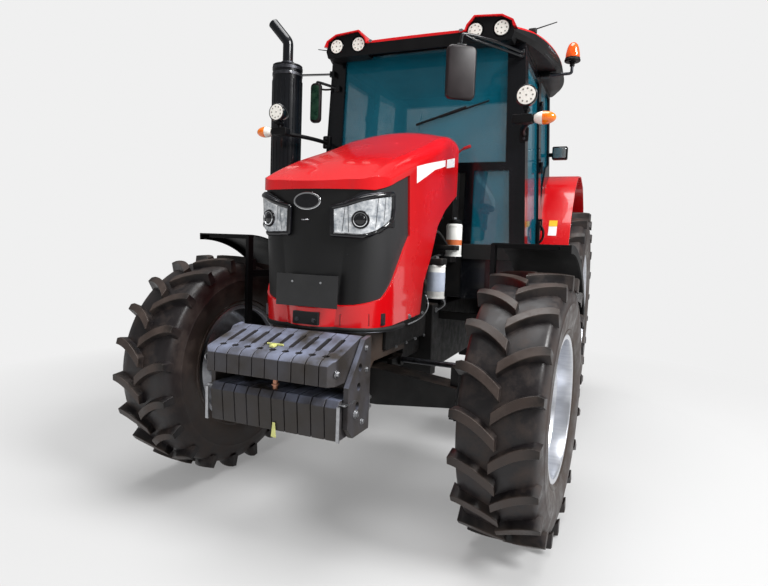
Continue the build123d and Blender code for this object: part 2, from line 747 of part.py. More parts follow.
# What is above the shoulders, where the roof is red.
red_line = [(visor_y - 200, cab_top_z + 8)] + [(y, cab_top_z + shoulder - 8)
                                               for y, _, shoulder, _ in roof_sections]
red_zone = side_prism(red_line + [(1200, red_line[-1][1]), (1200, 3200), (visor_y - 200, 3200)], -1000, 1000)

# The lamp pods at the roof's front corners: a red hood round a black face.
hood = [(330, cab_top_z + 4), (345, cab_top_z + 46), (392, cab_top_z + 98), (566, cab_top_z + 85),
        (634, cab_top_z + 48), (656, cab_top_z + 4)]
pod_face = [(338, visor_low_z + 2), (352, cab_top_z + 36), (399, cab_top_z + 88), (562, cab_top_z + 75),
            (625, cab_top_z + 40), (642, cab_top_z - 20), (628, visor_low_z + 2)]
pod_front_y = visor_y - 14.0
pod_back_y = -450.0


def without_lamp_bores(shape):
    for x in lamp_spots:
        for s in (-1, 1):
            shape -= bar((s * x, pod_front_y, lamp_z), (s * x, lamp_back_y, lamp_z), lamp_radius + 3)
    return shape


def roof():
    opening = front_prism(pod_face, pod_front_y - 1, pod_back_y)
    crown = roof_volume() + joined(both_sides(front_prism(hood, pod_front_y, -300)))
    crown = crown & red_zone
    for hole in both_sides(opening):
        crown -= hole
    return without_lamp_bores(crown)


def roof_trim():
    ring = (roof_volume() - red_zone) - cab_volume(-0.5, 0.5)
    ring -= block(-560, 560, visor_y + 14, cab_front_y, roof_low_z - 50, cab_top_z - 3)
    lip = block(-600, 600, visor_y, visor_y + 14, visor_low_z, roof_low_z + 10)
    return without_lamp_bores(joined([ring, lip] + both_sides(front_prism(pod_face, visor_y, pod_back_y))))


def roof_lamps():
    lamps = []
    for x in lamp_spots:
        lamps += both_sides(bar((x, lamp_back_y - 0.5, lamp_z), (x, lamp_back_y - 26, lamp_z), lamp_radius))
    return Compound(children=lamps)


save(roof(), "roof")
save(roof_trim(), "roof_trim")
save(roof_lamps(), "roof_lamps")


# ---- Inside the cab ----
def seat():
    base = block(-170, 170, 330, 640, 1400.0, 1460)
    cushion = side_prism([(250, 1500), (250, 1570), (330, 1600), (700, 1570), (700, 1460), (330, 1460)],
                         -250, 250, 20)
    back = side_prism([(640, 1560), (770, 2080), (690, 2100), (560, 1570)], -235, 235, 20)
    arms = [block(x - 35, x + 35, 380, 680, 1700, 1760) for x in (-285, 285)]
    posts = [block(x - 18, x + 18, 590, 650, 1560, 1705) for x in (-252, 252)]
    return joined([base, cushion, back] + arms + posts)


def steering_column():
    floor_z = cab_low_z + 24.5
    post = side_prism([(-330, floor_z), (-150, floor_z), (-110, 1700), (-270, 1700)], -85, 85)
    dash = side_prism([(-349.5, 1650), (-349.5, 1880), (-250, 1930), (-120, 1760), (-150, 1680)],
                      -200, 200, 0)
    shaft = bar((0, -200, 1760), (0, -20, 1900), 22)
    tilt = Plane(origin=(0, -20, 1900), z_dir=(0, 180, 140))
    wheel = tilt * Torus(190, 16)
    spokes = [tilt * (Rot(0, 0, turn) * block(0, 186, -16, 16, -9, 9)) for turn in (90, 210, 330)]
    hub = tilt * Cylinder(42, 44)
    return joined([post, dash, shaft, wheel, hub] + spokes)


def side_console():
    return joined([block(-540, -300, 120, 700, 1400.0, 1640), block(-520, -320, 60, 330, 1640, 1700),
                   block(-540, -330, 60, 330, 1084.0, 1640)])


save(seat(), "seat")
save(steering_column(), "steering_column")
save(side_console(), "side_console")


# ---- Outside the cab: exhaust, lamps, mirrors, steps and tank ----
muffler_x = -930.0
muffler_y = -594.0


def exhaust():
    body = bar((muffler_x, muffler_y, 1590), (muffler_x, muffler_y, 2624), 103)
    tail = bent_tube([(muffler_x, muffler_y, 2600), (muffler_x, muffler_y, 2790),
                      (muffler_x - 126, muffler_y, 2930)], 36, 60)
    inlet = bent_tube([(muffler_x, muffler_y, 1600), (muffler_x, muffler_y, 1500),
                       (-230, muffler_y - 100, 1300)], 38, 60)
    flange = block(-262, -190.5, muffler_y - 160, muffler_y - 50.5, 1245, 1355)
    low_x, high_x = 22 - cab_half(1720), 20 - cab_half(2600)
    arm = flat_bar((muffler_x, muffler_y, 1720), (low_x, cab_front_y - 30, 1720), 40, 8, (0, 0, 1))
    foot = block(low_x - 16, low_x + 22, cab_front_y - 36, cab_front_y - 0.3, 1690, 1750)
    stay = flat_bar((muffler_x, muffler_y, 2560), (high_x, cab_front_y - 22, 2600), 30, 8, (0, 0, 1))
    lug = block(high_x - 18, high_x + 18, cab_front_y - 34, cab_front_y - 0.3, 2580, 2620)
    return joined([body, tail, inlet, flange, foot, arm, stay, lug])


save(exhaust(), "exhaust")


def side_lamps():
    post_x = cab_half(2120) - 7
    arm = bent_tube([(post_x, cab_front_y - 6, 2120), (post_x, -640, 2120), (post_x + 144, -900, 2110)], 14, 50)
    foot = block(post_x - 26, post_x + 28, cab_front_y - 20, cab_front_y - 0.3, 2080, 2170)
    post = bar((795, -800, 2100), (795, -800, 2190), 12)
    work = bar((795, -924, 2228), (795, -800, 2228), 64)
    knee = bar((795, -812, 2112), (795, -800, 2200), 12)
    signal = block(852, 946, -930, -862, 2080, 2135)
    return Compound(children=both_sides(joined([arm, foot, post, work, signal, knee])))


def mirrors():
    left_x, right_x = cab_half(2625) - 14, 22 - cab_half(2500)
    arm = bent_tube([(left_x, cab_front_y - 14, 2625), (560, -600, 2634), (383, -800, 2640),
                     (383, -800, 2550)], 11, 30)
    foot = block(left_x - 22, left_x + 12, cab_front_y - 28, cab_front_y - 0.3, 2600, 2643)
    head = Plane(origin=(390, -800, 2412), x_dir=(0.82, 0.57, 0), z_dir=(0, 0, 1)) * Box(180, 36, 308)
    left = joined([arm, foot, head])
    arm2 = bent_tube([(right_x, cab_front_y - 14, 2500), (right_x - 128, cab_front_y - 66, 2545),
                      (right_x - 143, cab_front_y - 66, 2450)], 11, 20)
    foot2 = block(right_x - 22, right_x + 22, cab_front_y - 26, cab_front_y - 0.3, 2480, 2520)
    head2 = block(right_x - 143, right_x - 60, cab_front_y - 84, cab_front_y - 48, 2255, 2535)
    return Compound(children=[left, joined([arm2, foot2, head2])])


beacon_x = roof_half + 76.0
beacon_y = 262.0
beacon_low_z = 2752.0


def beacon():
    side_x = cab_half(2657) + 0.3
    tube = bent_tube([(side_x + 18, beacon_y, 2673), (beacon_x, beacon_y, 2673),
                      (beacon_x, beacon_y, beacon_low_z + 4)], 11, 30)
    dome = bar((beacon_x, beacon_y, beacon_low_z), (beacon_x, beacon_y, beacon_low_z + 140), 56)
    foot = block(side_x, side_x + 73, beacon_y - 30, beacon_y + 30, 2657, 2689)
    return joined([tube, dome, foot])


def rear_lamps():
    side_x = cab_half(2180) + 0.3
    lamp = block(side_x + 30, side_x + 150, 796, 850, 2150, 2255)
    stalk = block(side_x, side_x + 70, 838, 866, 2180, 2210)
    return Compound(children=both_sides(joined([lamp, stalk])))


def steps():
    near, far = cab_low_half - 128, cab_low_half + 172
    hanger = [block(near, near + 20, y, y + 12, 470, cab_low_z - 0.5) for y in (-330, 120)]
    treads = [block(near, far, -330, 132, z, z + 22) for z in (470, 740)]
    sides = [block(far - 40, far, y, y + 12, 470, 900) for y in (-330, 120)]
    arm = block(180.5, near + 20, -330, -280, 900, 950)
    return joined(hanger + treads + sides + [arm])


def fuel_tank():
    tank = side_prism([(-360, 560), (-360, 1000), (150, 1000), (150, 560)], -700, -300, 60)
    straps = [block(-310, -180.5, y, y + 50, 800, 860) for y in (-300, 40)]
    return joined([tank] + straps)


save(side_lamps(), "side_lamps")
save(mirrors(), "mirrors")
save(beacon(), "beacon")
save(rear_lamps(), "rear_lamps")
save(steps(), "steps_left")
save(fuel_tank(), "fuel_tank")


def filters():
    first = bar((330, -902, 1100), (330, -902, 1300), 52)
    second = bar((345, -618, 1345), (345, -618, 1545), 50)
    heads = [block(190.5, 380, -954, -850, 1290, 1330), block(190.5, 380, -700, -641, 1380, 1410),
             block(290, 380, -690, -590, 1380, 1410)]
    return joined([first, second] + heads)


save(filters(), "engine_filters")

# ---- Rear hitch ----
link_pivot_z = 480.0
link_rod_reach = 350.0
arm_pivot_z = 1175.0
link_x_front = 250.0
link_x_rear = 435.0
link_slope = 10.0
eye_radius = 38.0
eye_bore = 14.35
link_pivot_y = rear_axle_y + 156.0
# The eyes end as far behind the middle of the tractor as the weights stand before it.
link_length = (half_length - eye_radius - link_pivot_y) / cos(radians(link_slope))


def along_link(reach):
    t = reach / link_length
    slope = radians(link_slope)
    return (link_x_front + (link_x_rear - link_x_front) * t,
            link_pivot_y + reach * cos(slope), link_pivot_z + reach * sin(slope))


rod_x, rod_pin_y, rod_pin_z = along_link(link_rod_reach)
rod_in_x, rod_out_x = rod_x + 22, rod_x + 54
pin_radius = 14.0


def lower_links():
    pieces = []
    end_x, end_y, end_z = along_link(link_length)
    for s in (-1, 1):
        link = flat_bar((s * link_x_front, link_pivot_y, link_pivot_z), (s * end_x, end_y, end_z), 70, 26)
        eye = bar((s * end_x - 22, end_y, end_z), (s * end_x + 22, end_y, end_z), eye_radius)
        ball = bar((s * link_x_front - 20, link_pivot_y, link_pivot_z),
                   (s * link_x_front + 20, link_pivot_y, link_pivot_z), 36)
        pin = bar((s * rod_x, rod_pin_y, rod_pin_z), (s * (rod_out_x + 6), rod_pin_y, rod_pin_z), pin_radius)
        piece = joined([link, eye, ball, pin])
        piece -= bar((s * end_x - 60, end_y, end_z), (s * end_x + 60, end_y, end_z), eye_bore)
        pieces.append(piece)
    tie_x, tie_y, tie_z = along_link(link_length - 180)
    tie = bar((-tie_x, tie_y, tie_z), (tie_x, tie_y, tie_z), 10)
    return joined(pieces + [tie])


def lift_arms():
    rise = arm_pivot_z - link_pivot_z
    y = link_pivot_y
    shaft = bar((-rod_x, y, arm_pivot_z), (rod_x, y, arm_pivot_z), 30)
    pieces = [shaft]
    for s in (-1, 1):
        pieces.append(flat_bar((s * rod_x, y, arm_pivot_z), (s * rod_x, rod_pin_y, rod_pin_z + rise), 62, 28))
        pieces.append(bar((s * (rod_x - 14), y, arm_pivot_z), (s * (rod_x + 14), y, arm_pivot_z), 46))
        pieces.append(bar((s * (rod_x - 14), rod_pin_y, rod_pin_z + rise),
                          (s * (rod_x + 14), rod_pin_y, rod_pin_z + rise), 31))
        pieces.append(bar((s * rod_x, rod_pin_y, rod_pin_z + rise),
                          (s * (rod_out_x + 6), rod_pin_y, rod_pin_z + rise), pin_radius))
    return joined(pieces)


def lift_rods():
    rise = arm_pivot_z - link_pivot_z
    mid = (rod_in_x + rod_out_x) / 2
    rods = []
    for s in (-1, 1):
        rod = joined([
            bar((s * mid, rod_pin_y, rod_pin_z), (s * mid, rod_pin_y, rod_pin_z + rise), 13),
            bar((s * mid, rod_pin_y, rod_pin_z + 180), (s * mid, rod_pin_y, rod_pin_z + 470), 22),
            bar((s * rod_in_x, rod_pin_y, rod_pin_z), (s * rod_out_x, rod_pin_y, rod_pin_z), 30),
            bar((s * rod_in_x, rod_pin_y, rod_pin_z + rise), (s * rod_out_x, rod_pin_y, rod_pin_z + rise), 30),
        ])
        for z in (rod_pin_z, rod_pin_z + rise):
            rod -= bar((s * (rod_in_x - 9), rod_pin_y, z), (s * (rod_out_x + 9), rod_pin_y, z),
                       pin_radius + seat_clearance)
        rods.append(rod)
    return Compound(children=rods)


def hitch_frame():
    y = rear_axle_y + 260
    plate = block(-225, 225, y + 0.5, y + 40, 420, 1240)
    pads = [block(min(s * 185, s * 229.5), max(s * 185, s * 229.5), 1290, y + 40, 440, 530) for s in (-1, 1)]
    lift_case = block(-190, 190, 1010, y + 20, 1090.5, 1240)
    top = [block(x - 9, x + 9, y + 20, y + 150, 960, 1060) for x in (-34, 34)]
    whole = joined([plate, lift_case] + pads + top)
    whole -= bar((-300, link_pivot_y, arm_pivot_z), (300, link_pivot_y, arm_pivot_z), 30 + seat_clearance)
    whole -= bar((-60, y + 110, 1010), (60, y + 110, 1010), 12.75)
    return whole


def drawbar():
    beam = block(-45, 45, 1100, 1880, 380, 412)
    rear_hanger = block(-80, 80, 1395, 1459.5, 380, 419.5)
    front_hanger = block(-70, 70, 1100, 1160, 400, 539.5)
    hole = Pos(0, 1845, 396) * Cylinder(16.5, 80)
    return joined([beam, rear_hanger, front_hanger]) - hole


def pto_shaft():
    y = rear_axle_y + 300.3
    return joined([bar((0, y, 690), (0, y + 20, 690), 60), bar((0, y, 690), (0, y + 96, 690), 17.45)])


save(lower_links(), "lower_links")
save(lift_arms(), "lift_arms")
save(lift_rods(), "lift_rods")
save(hitch_frame(), "hitch_frame")
save(drawbar(), "drawbar")
save(pto_shaft(), "pto_shaft")
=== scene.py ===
import json
import math

import bmesh
import bpy
from mathutils import Matrix, Vector
from mathutils.bvhtree import BVHTree


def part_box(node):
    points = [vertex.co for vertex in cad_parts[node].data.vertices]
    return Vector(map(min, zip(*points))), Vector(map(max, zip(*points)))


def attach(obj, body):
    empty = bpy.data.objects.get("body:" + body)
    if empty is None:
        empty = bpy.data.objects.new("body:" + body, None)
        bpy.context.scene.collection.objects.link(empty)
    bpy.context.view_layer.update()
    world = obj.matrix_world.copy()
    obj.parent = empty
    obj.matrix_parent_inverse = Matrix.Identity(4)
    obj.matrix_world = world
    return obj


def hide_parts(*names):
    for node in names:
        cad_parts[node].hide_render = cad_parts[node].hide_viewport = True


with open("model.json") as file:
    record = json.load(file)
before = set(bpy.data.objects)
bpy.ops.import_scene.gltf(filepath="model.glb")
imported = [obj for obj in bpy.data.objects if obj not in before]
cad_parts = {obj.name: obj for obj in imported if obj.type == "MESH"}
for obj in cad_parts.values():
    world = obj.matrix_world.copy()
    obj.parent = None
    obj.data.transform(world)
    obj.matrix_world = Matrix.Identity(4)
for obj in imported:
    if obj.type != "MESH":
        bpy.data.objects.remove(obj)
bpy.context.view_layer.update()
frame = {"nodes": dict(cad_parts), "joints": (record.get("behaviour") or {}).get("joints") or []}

sideNames = {1: "left", -1: "right"}   # +X is the tractor's left


def linear(hexCode):  # sRGB hex to linear RGBA
    parts = [int(hexCode[i:i + 2], 16) / 255 for i in (1, 3, 5)]
    return [p / 12.92 if p <= 0.04045 else ((p + 0.055) / 1.055) ** 2.4 for p in parts] + [1.0]


def addNode(tree, kind, settings=None, links=None):
    node = tree.nodes.new(kind)
    for key, value in (settings or {}).items():
        if isinstance(key, str) and hasattr(node, key):
            setattr(node, key, value)
        else:
            node.inputs[key].default_value = value
    for socket, source in (links or {}).items():
        tree.links.new(source, node.inputs[socket])
    return node


def newMaterial(name, settings):
    made = bpy.data.materials.new(name)
    made.use_nodes = True
    tree = made.node_tree
    tree.nodes.clear()
    shader = addNode(tree, "ShaderNodeBsdfPrincipled", settings)
    addNode(tree, "ShaderNodeOutputMaterial", links={"Surface": shader.outputs[0]})
    return made, tree, shader


def place(tree, scale=(1, 1, 1), centre=(0, 0, 0)):  # Object coordinates, moved and scaled
    coords = addNode(tree, "ShaderNodeTexCoord")
    return addNode(tree, "ShaderNodeMapping", {"vector_type": "POINT", "Scale": scale,
                                               "Location": [-c * s for c, s in zip(centre, scale)]},
                   {"Vector": coords.outputs["Object"]}).outputs[0]


def ramp(tree, factor, stops):
    node = addNode(tree, "ShaderNodeValToRGB", links={"Fac": factor})
    for i, (at, colour) in enumerate(stops):
        stop = node.color_ramp.elements[i] if i < 2 else node.color_ramp.elements.new(at)
        stop.position = at
        stop.color = colour
    return node.outputs[0]


def grey(value):
    return [value, value, value, 1.0]


def noise(tree, where, scale, detail, rough=0.5):
    return addNode(tree, "ShaderNodeTexNoise", {"Scale": scale, "Detail": detail, "Roughness": rough},
                   {"Vector": where}).outputs["Fac"]


def mapRange(tree, value, start, end, low=0.0, high=1.0):
    return addNode(tree, "ShaderNodeMapRange", {"From Min": start, "From Max": end, "To Min": low,
                                                "To Max": high}, {"Value": value}).outputs[0]


def reckon(tree, operation, *values):
    return addNode(tree, "ShaderNodeMath", {"operation": operation}, dict(enumerate(values))).outputs[0]


def mixed(tree, share, base, hexCode):  # a share of one flat colour over the base
    return addNode(tree, "ShaderNodeMix", {"data_type": "RGBA", 7: linear(hexCode)},
                   {0: share, 6: base}).outputs[2]


def addRelief(tree, shader, height, strength, depth=0.001):
    relief = addNode(tree, "ShaderNodeBump", {"Strength": strength, "Distance": depth}, {"Height": height})
    tree.links.new(relief.outputs[0], shader.inputs["Normal"])


def sideways(tree, vector):  # the size of its X: distance from the middle, or a face's turn aside
    across = addNode(tree, "ShaderNodeSeparateXYZ", links={0: vector}).outputs["X"]
    return reckon(tree, "ABSOLUTE", across)


def vertsIn(geom):
    return [v for v in geom if isinstance(v, bmesh.types.BMVert)]


def everything(bm):
    return bm.verts[:] + bm.edges[:] + bm.faces[:]


def pourInto(bm, part):  # adds a finished part to another bmesh
    held = bpy.data.meshes.new("part")
    part.to_mesh(held)
    bm.from_mesh(held)
    bpy.data.meshes.remove(held)
    part.free()


def addBox(bm, low, high):
    made = bmesh.ops.create_cube(bm, size=1.0)["verts"]
    bmesh.ops.scale(bm, vec=[h - l for l, h in zip(low, high)], verts=made)
    bmesh.ops.translate(bm, vec=[(h + l) / 2 for l, h in zip(low, high)], verts=made)
    return made


def addRod(bm, start, end, radius, sides=20, endRadius=None):
    axis = Vector(end) - Vector(start)
    tip = radius if endRadius is None else endRadius
    made = bmesh.ops.create_cone(bm, cap_ends=True, segments=sides, radius1=radius, radius2=tip,
                                 depth=axis.length)["verts"]
    turn = axis.to_track_quat("Z", "Y").to_matrix().to_4x4()
    bmesh.ops.transform(bm, matrix=Matrix.Translation((Vector(start) + Vector(end)) / 2) @ turn, verts=made)
    return made


def addBolt(bm, spot, axis, size=0.012, washer=True):  # hexagon head on a washer
    spot, axis = Vector(spot), Vector(axis).normalized()
    if washer:
        addRod(bm, spot, spot + axis * size * 0.25, size * 1.25, 16)
    addRod(bm, spot, spot + axis * size * 0.95, size, 6, size * 0.94)


def addTube(bm, points, radius, sides=5):  # a hose or bent tube along its points
    curve = bpy.data.curves.new("route", "CURVE")
    curve.dimensions = "3D"
    curve.bevel_depth = radius
    curve.bevel_resolution = sides - 2
    curve.use_fill_caps = True
    spline = curve.splines.new("NURBS")
    spline.points.add(len(points) - 1)
    for spot, point in zip(spline.points, points):
        spot.co = (*point, 1)
    spline.order_u = 3
    spline.use_endpoint_u = True
    spline.resolution_u = 6
    holder = bpy.data.objects.new("route", curve)
    mesh = bpy.data.meshes.new_from_object(holder)
    bm.from_mesh(mesh)
    bpy.data.meshes.remove(mesh)
    bpy.data.objects.remove(holder)
    bpy.data.curves.remove(curve)


def addPrism(bm, outline, along, axis):
    # outline: corners in the two other axes' order, pushed from along[0] to along[1] on axis 0, 1 or 2
    others = [i for i in range(3) if i != axis]
    verts = []
    for a, b in outline:
        spot = [0.0, 0.0, 0.0]
        spot[others[0]], spot[others[1]], spot[axis] = a, b, along[0]
        verts.append(bm.verts.new(spot))
    face = bm.faces.new(verts)
    push = Vector([along[1] - along[0] if i == axis else 0.0 for i in range(3)])
    top = bmesh.ops.extrude_face_region(bm, geom=[face])["geom"]
    bmesh.ops.translate(bm, vec=push, verts=vertsIn(top))


def addRound(bm, profile, centre, axis, steps=48):
    # profile: (along the axis, distance from it), closed into a ring and spun once round
    along = Vector(axis).normalized()
    out = along.orthogonal().normalized()
    verts = [bm.verts.new(Vector(centre) + along * a + out * r) for a, r in profile]
    edges = [bm.edges.new((p, q)) for p, q in zip(verts, verts[1:] + verts[:1])]
    bmesh.ops.spin(bm, geom=verts + edges, cent=centre, axis=along, angle=math.tau, steps=steps,
                   use_merge=True, use_duplicate=False)


def mirrored(bm):  # the same again on the other side of the tractor
    both = bmesh.ops.duplicate(bm, geom=everything(bm))["geom"]
    bmesh.ops.scale(bm, vec=(-1, 1, 1), verts=vertsIn(both))
    bmesh.ops.reverse_faces(bm, faces=[f for f in both if isinstance(f, bmesh.types.BMFace)])


def finish(name, bm, material, body, replaces=(), bevel=0.0, angle=35, segments=2, tidy=True):
    if tidy:
        bmesh.ops.remove_doubles(bm, verts=bm.verts[:], dist=1e-6)
        bmesh.ops.recalc_face_normals(bm, faces=bm.faces[:])
    for face in bm.faces:
        face.smooth = True
    for edge in bm.edges:
        edge.smooth = len(edge.link_faces) == 2 and edge.calc_face_angle(math.pi) < math.radians(angle)
    mesh = bpy.data.meshes.new(name)
    bm.to_mesh(mesh)
    bm.free()
    piece = bpy.data.objects.new(name, mesh)
    bpy.context.scene.collection.objects.link(piece)
    mesh.materials.append(materials[material])
    if bevel:
        soft = piece.modifiers.new("softEdges", "BEVEL")
        soft.width = bevel
        soft.segments = segments
        soft.limit_method = "ANGLE"
        soft.angle_limit = math.radians(angle)
        soft.harden_normals = True
        soft.use_clamp_overlap = True
    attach(piece, body)
    if replaces:
        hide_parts(*replaces)
    return piece


def dressed(node, name, material, body, bevel):
    # a copy of a CAD node with its loose triangles joined and its edges rounded
    bm = bmesh.new()
    bm.from_mesh(frame["nodes"][node].data)
    bmesh.ops.remove_doubles(bm, verts=bm.verts[:], dist=1e-5)
    bmesh.ops.dissolve_limit(bm, angle_limit=math.radians(0.3), verts=bm.verts[:], edges=bm.edges[:])
    return finish(name, bm, material, body, (node,), bevel, angle=30, tidy=False)


def surface(name, colours, patch, grain, rough, bump=0.0, metal=0.0, coat=0.0, dustAndTopLight=None, shine=0.5):
    # two tones in soft patches and a fine relief; patch and grain are sizes in mm
    made, tree, shader = newMaterial(name, {"Metallic": metal, "Coat Weight": coat, "Coat Roughness": 0.04,
                                             "Specular IOR Level": shine})
    where = place(tree)
    patches = noise(tree, where, 1000 / patch, 5.0, 0.6)
    colour = ramp(tree, patches, [(0.32, linear(colours[0])), (0.68, linear(colours[1]))])
    gloss = mapRange(tree, patches, 0.3, 0.7, *rough)
    if dustAndTopLight:  # dust on faces that look up, in clouds; on the weights also painted top light
        dustAndLightColour, amount, cloud = dustAndTopLight
        normal = addNode(tree, "ShaderNodeNewGeometry").outputs["Normal"]
        facing = addNode(tree, "ShaderNodeSeparateXYZ", links={0: normal}).outputs["Z"]
        lying = mapRange(tree, facing, -0.15, 1.0, 0.0, amount)
        patchy = mapRange(tree, noise(tree, where, 1000 / cloud, 8.0), 0.35, 0.65)
        colour = mixed(tree, reckon(tree, "MULTIPLY", lying, patchy), colour, dustAndLightColour)
    tree.links.new(colour, shader.inputs["Base Color"])
    tree.links.new(gloss, shader.inputs["Roughness"])
    if bump:
        addRelief(tree, shader, noise(tree, where, 1000 / grain, 3.0), bump)
    return made


def treadRubber(name, centre, axle, radius):
    # moulded natural rubber: darkest in the valleys between the lugs as painted shade, brown with dried field
    # dust on wall and lug tops
    made, tree, shader = newMaterial(name, {"Specular IOR Level": 0.4})
    spot = place(tree, centre=centre)
    along = addNode(tree, "ShaderNodeVectorMath", {"operation": "DOT_PRODUCT", 1: axle}, {0: spot})
    shift = addNode(tree, "ShaderNodeVectorMath", {"operation": "SCALE", 0: axle},
                    {"Scale": along.outputs["Value"]}).outputs[0]
    flat = addNode(tree, "ShaderNodeVectorMath", {"operation": "SUBTRACT"}, {0: spot, 1: shift}).outputs[0]
    far = addNode(tree, "ShaderNodeVectorMath", {"operation": "LENGTH"}, {0: flat}).outputs["Value"]
    share = mapRange(tree, far, radius * 0.5, radius)
    depth = 0.038 / (radius * 0.5)   # the lugs' share of that span
    # the darkest band, at the foot of the lugs, is painted shade
    base = ramp(tree, share, [(0.0, linear("#30261f")), (0.6, linear("#261e1d")),
                              (1 - 1.25 * depth, linear("#1d191a")), (1 - 0.8 * depth, linear("#151214")),
                              (1 - 0.25 * depth, linear("#191513")), (1 - 0.1 * depth, linear("#352c28"))])
    clouds = noise(tree, spot, 11.0, 9.0, 0.65)
    colour = mixed(tree, mapRange(tree, clouds, 0.46, 0.7, 0.0, 0.45), base, "#4c3f38")
    tree.links.new(colour, shader.inputs["Base Color"])
    tree.links.new(mapRange(tree, clouds, 0.35, 0.65, 0.3, 0.62), shader.inputs["Roughness"])
    addRelief(tree, shader, noise(tree, spot, 160.0, 3.0), 0.3, 0.0012)
    return made


def glazing(name, tint, alpha):
    # tinted float glass: see-through, with a faint uneven film on it
    made, tree, shader = newMaterial(name, {"IOR": 1.52, "Roughness": 0.02, "Specular IOR Level": 0.6})
    film = noise(tree, place(tree), 2.2, 4.0)
    tree.links.new(ramp(tree, film, [(0.3, linear(tint[0])), (0.7, linear(tint[1]))]),
                   shader.inputs["Base Color"])
    tree.links.new(mapRange(tree, film, 0.3, 0.7, *alpha), shader.inputs["Alpha"])
    return made


def wovenCloth(name, colours, thread):  # polyester seat cover; thread spacing in mm, coarse enough to show
    made, tree, shader = newMaterial(name, {"Sheen Weight": 0.4, "Roughness": 0.9})
    where = place(tree, scale=[1000 / thread] * 3)
    rows = [addNode(tree, "ShaderNodeTexWave", {"bands_direction": way, "Scale": 1.0, "Distortion": 0.6},
                    {"Vector": where}).outputs["Fac"] for way in ("X", "Z")]
    weave = reckon(tree, "MULTIPLY", *rows)
    tree.links.new(ramp(tree, weave, [(0.2, linear(colours[0])), (0.9, linear(colours[1]))]),
                   shader.inputs["Base Color"])
    addRelief(tree, shader, weave, 0.6)
    return made


def wheelPaint(name, tint, rough, paintedWellShade, inner, outer):
    # silver wheel paint over rolled steel; the well between inner and outer is darkened as painted shade
    made, tree, shader = newMaterial(name, {"Metallic": 0.85})
    marks = noise(tree, place(tree, scale=(9, 60, 60)), 1.0, 6.0)
    paint = ramp(tree, marks, [(0.3, linear(tint[0])), (0.7, linear(tint[1]))])
    away = sideways(tree, place(tree))
    deep = mapRange(tree, away, inner, inner + 0.01)
    shallow = mapRange(tree, away, outer, outer + 0.02, 1.0, 0.0)
    colour = mixed(tree, reckon(tree, "MULTIPLY", deep, shallow), paint, paintedWellShade)
    tree.links.new(colour, shader.inputs["Base Color"])
    tree.links.new(mapRange(tree, marks, 0.0, 1.0, *rough), shader.inputs["Roughness"])
    return made


def paintedSideLight(made, sideLight):  # faces turned to the side are painted paler than those in front: painted side light
    tree = made.node_tree
    shader = next(n for n in tree.nodes if n.bl_idname == "ShaderNodeBsdfPrincipled")
    base = shader.inputs["Base Color"].links[0].from_socket
    normal = addNode(tree, "ShaderNodeNewGeometry").outputs["Normal"]
    share = mapRange(tree, sideways(tree, normal), 0.45, 0.9)
    tree.links.new(mixed(tree, share, base, sideLight), shader.inputs["Base Color"])


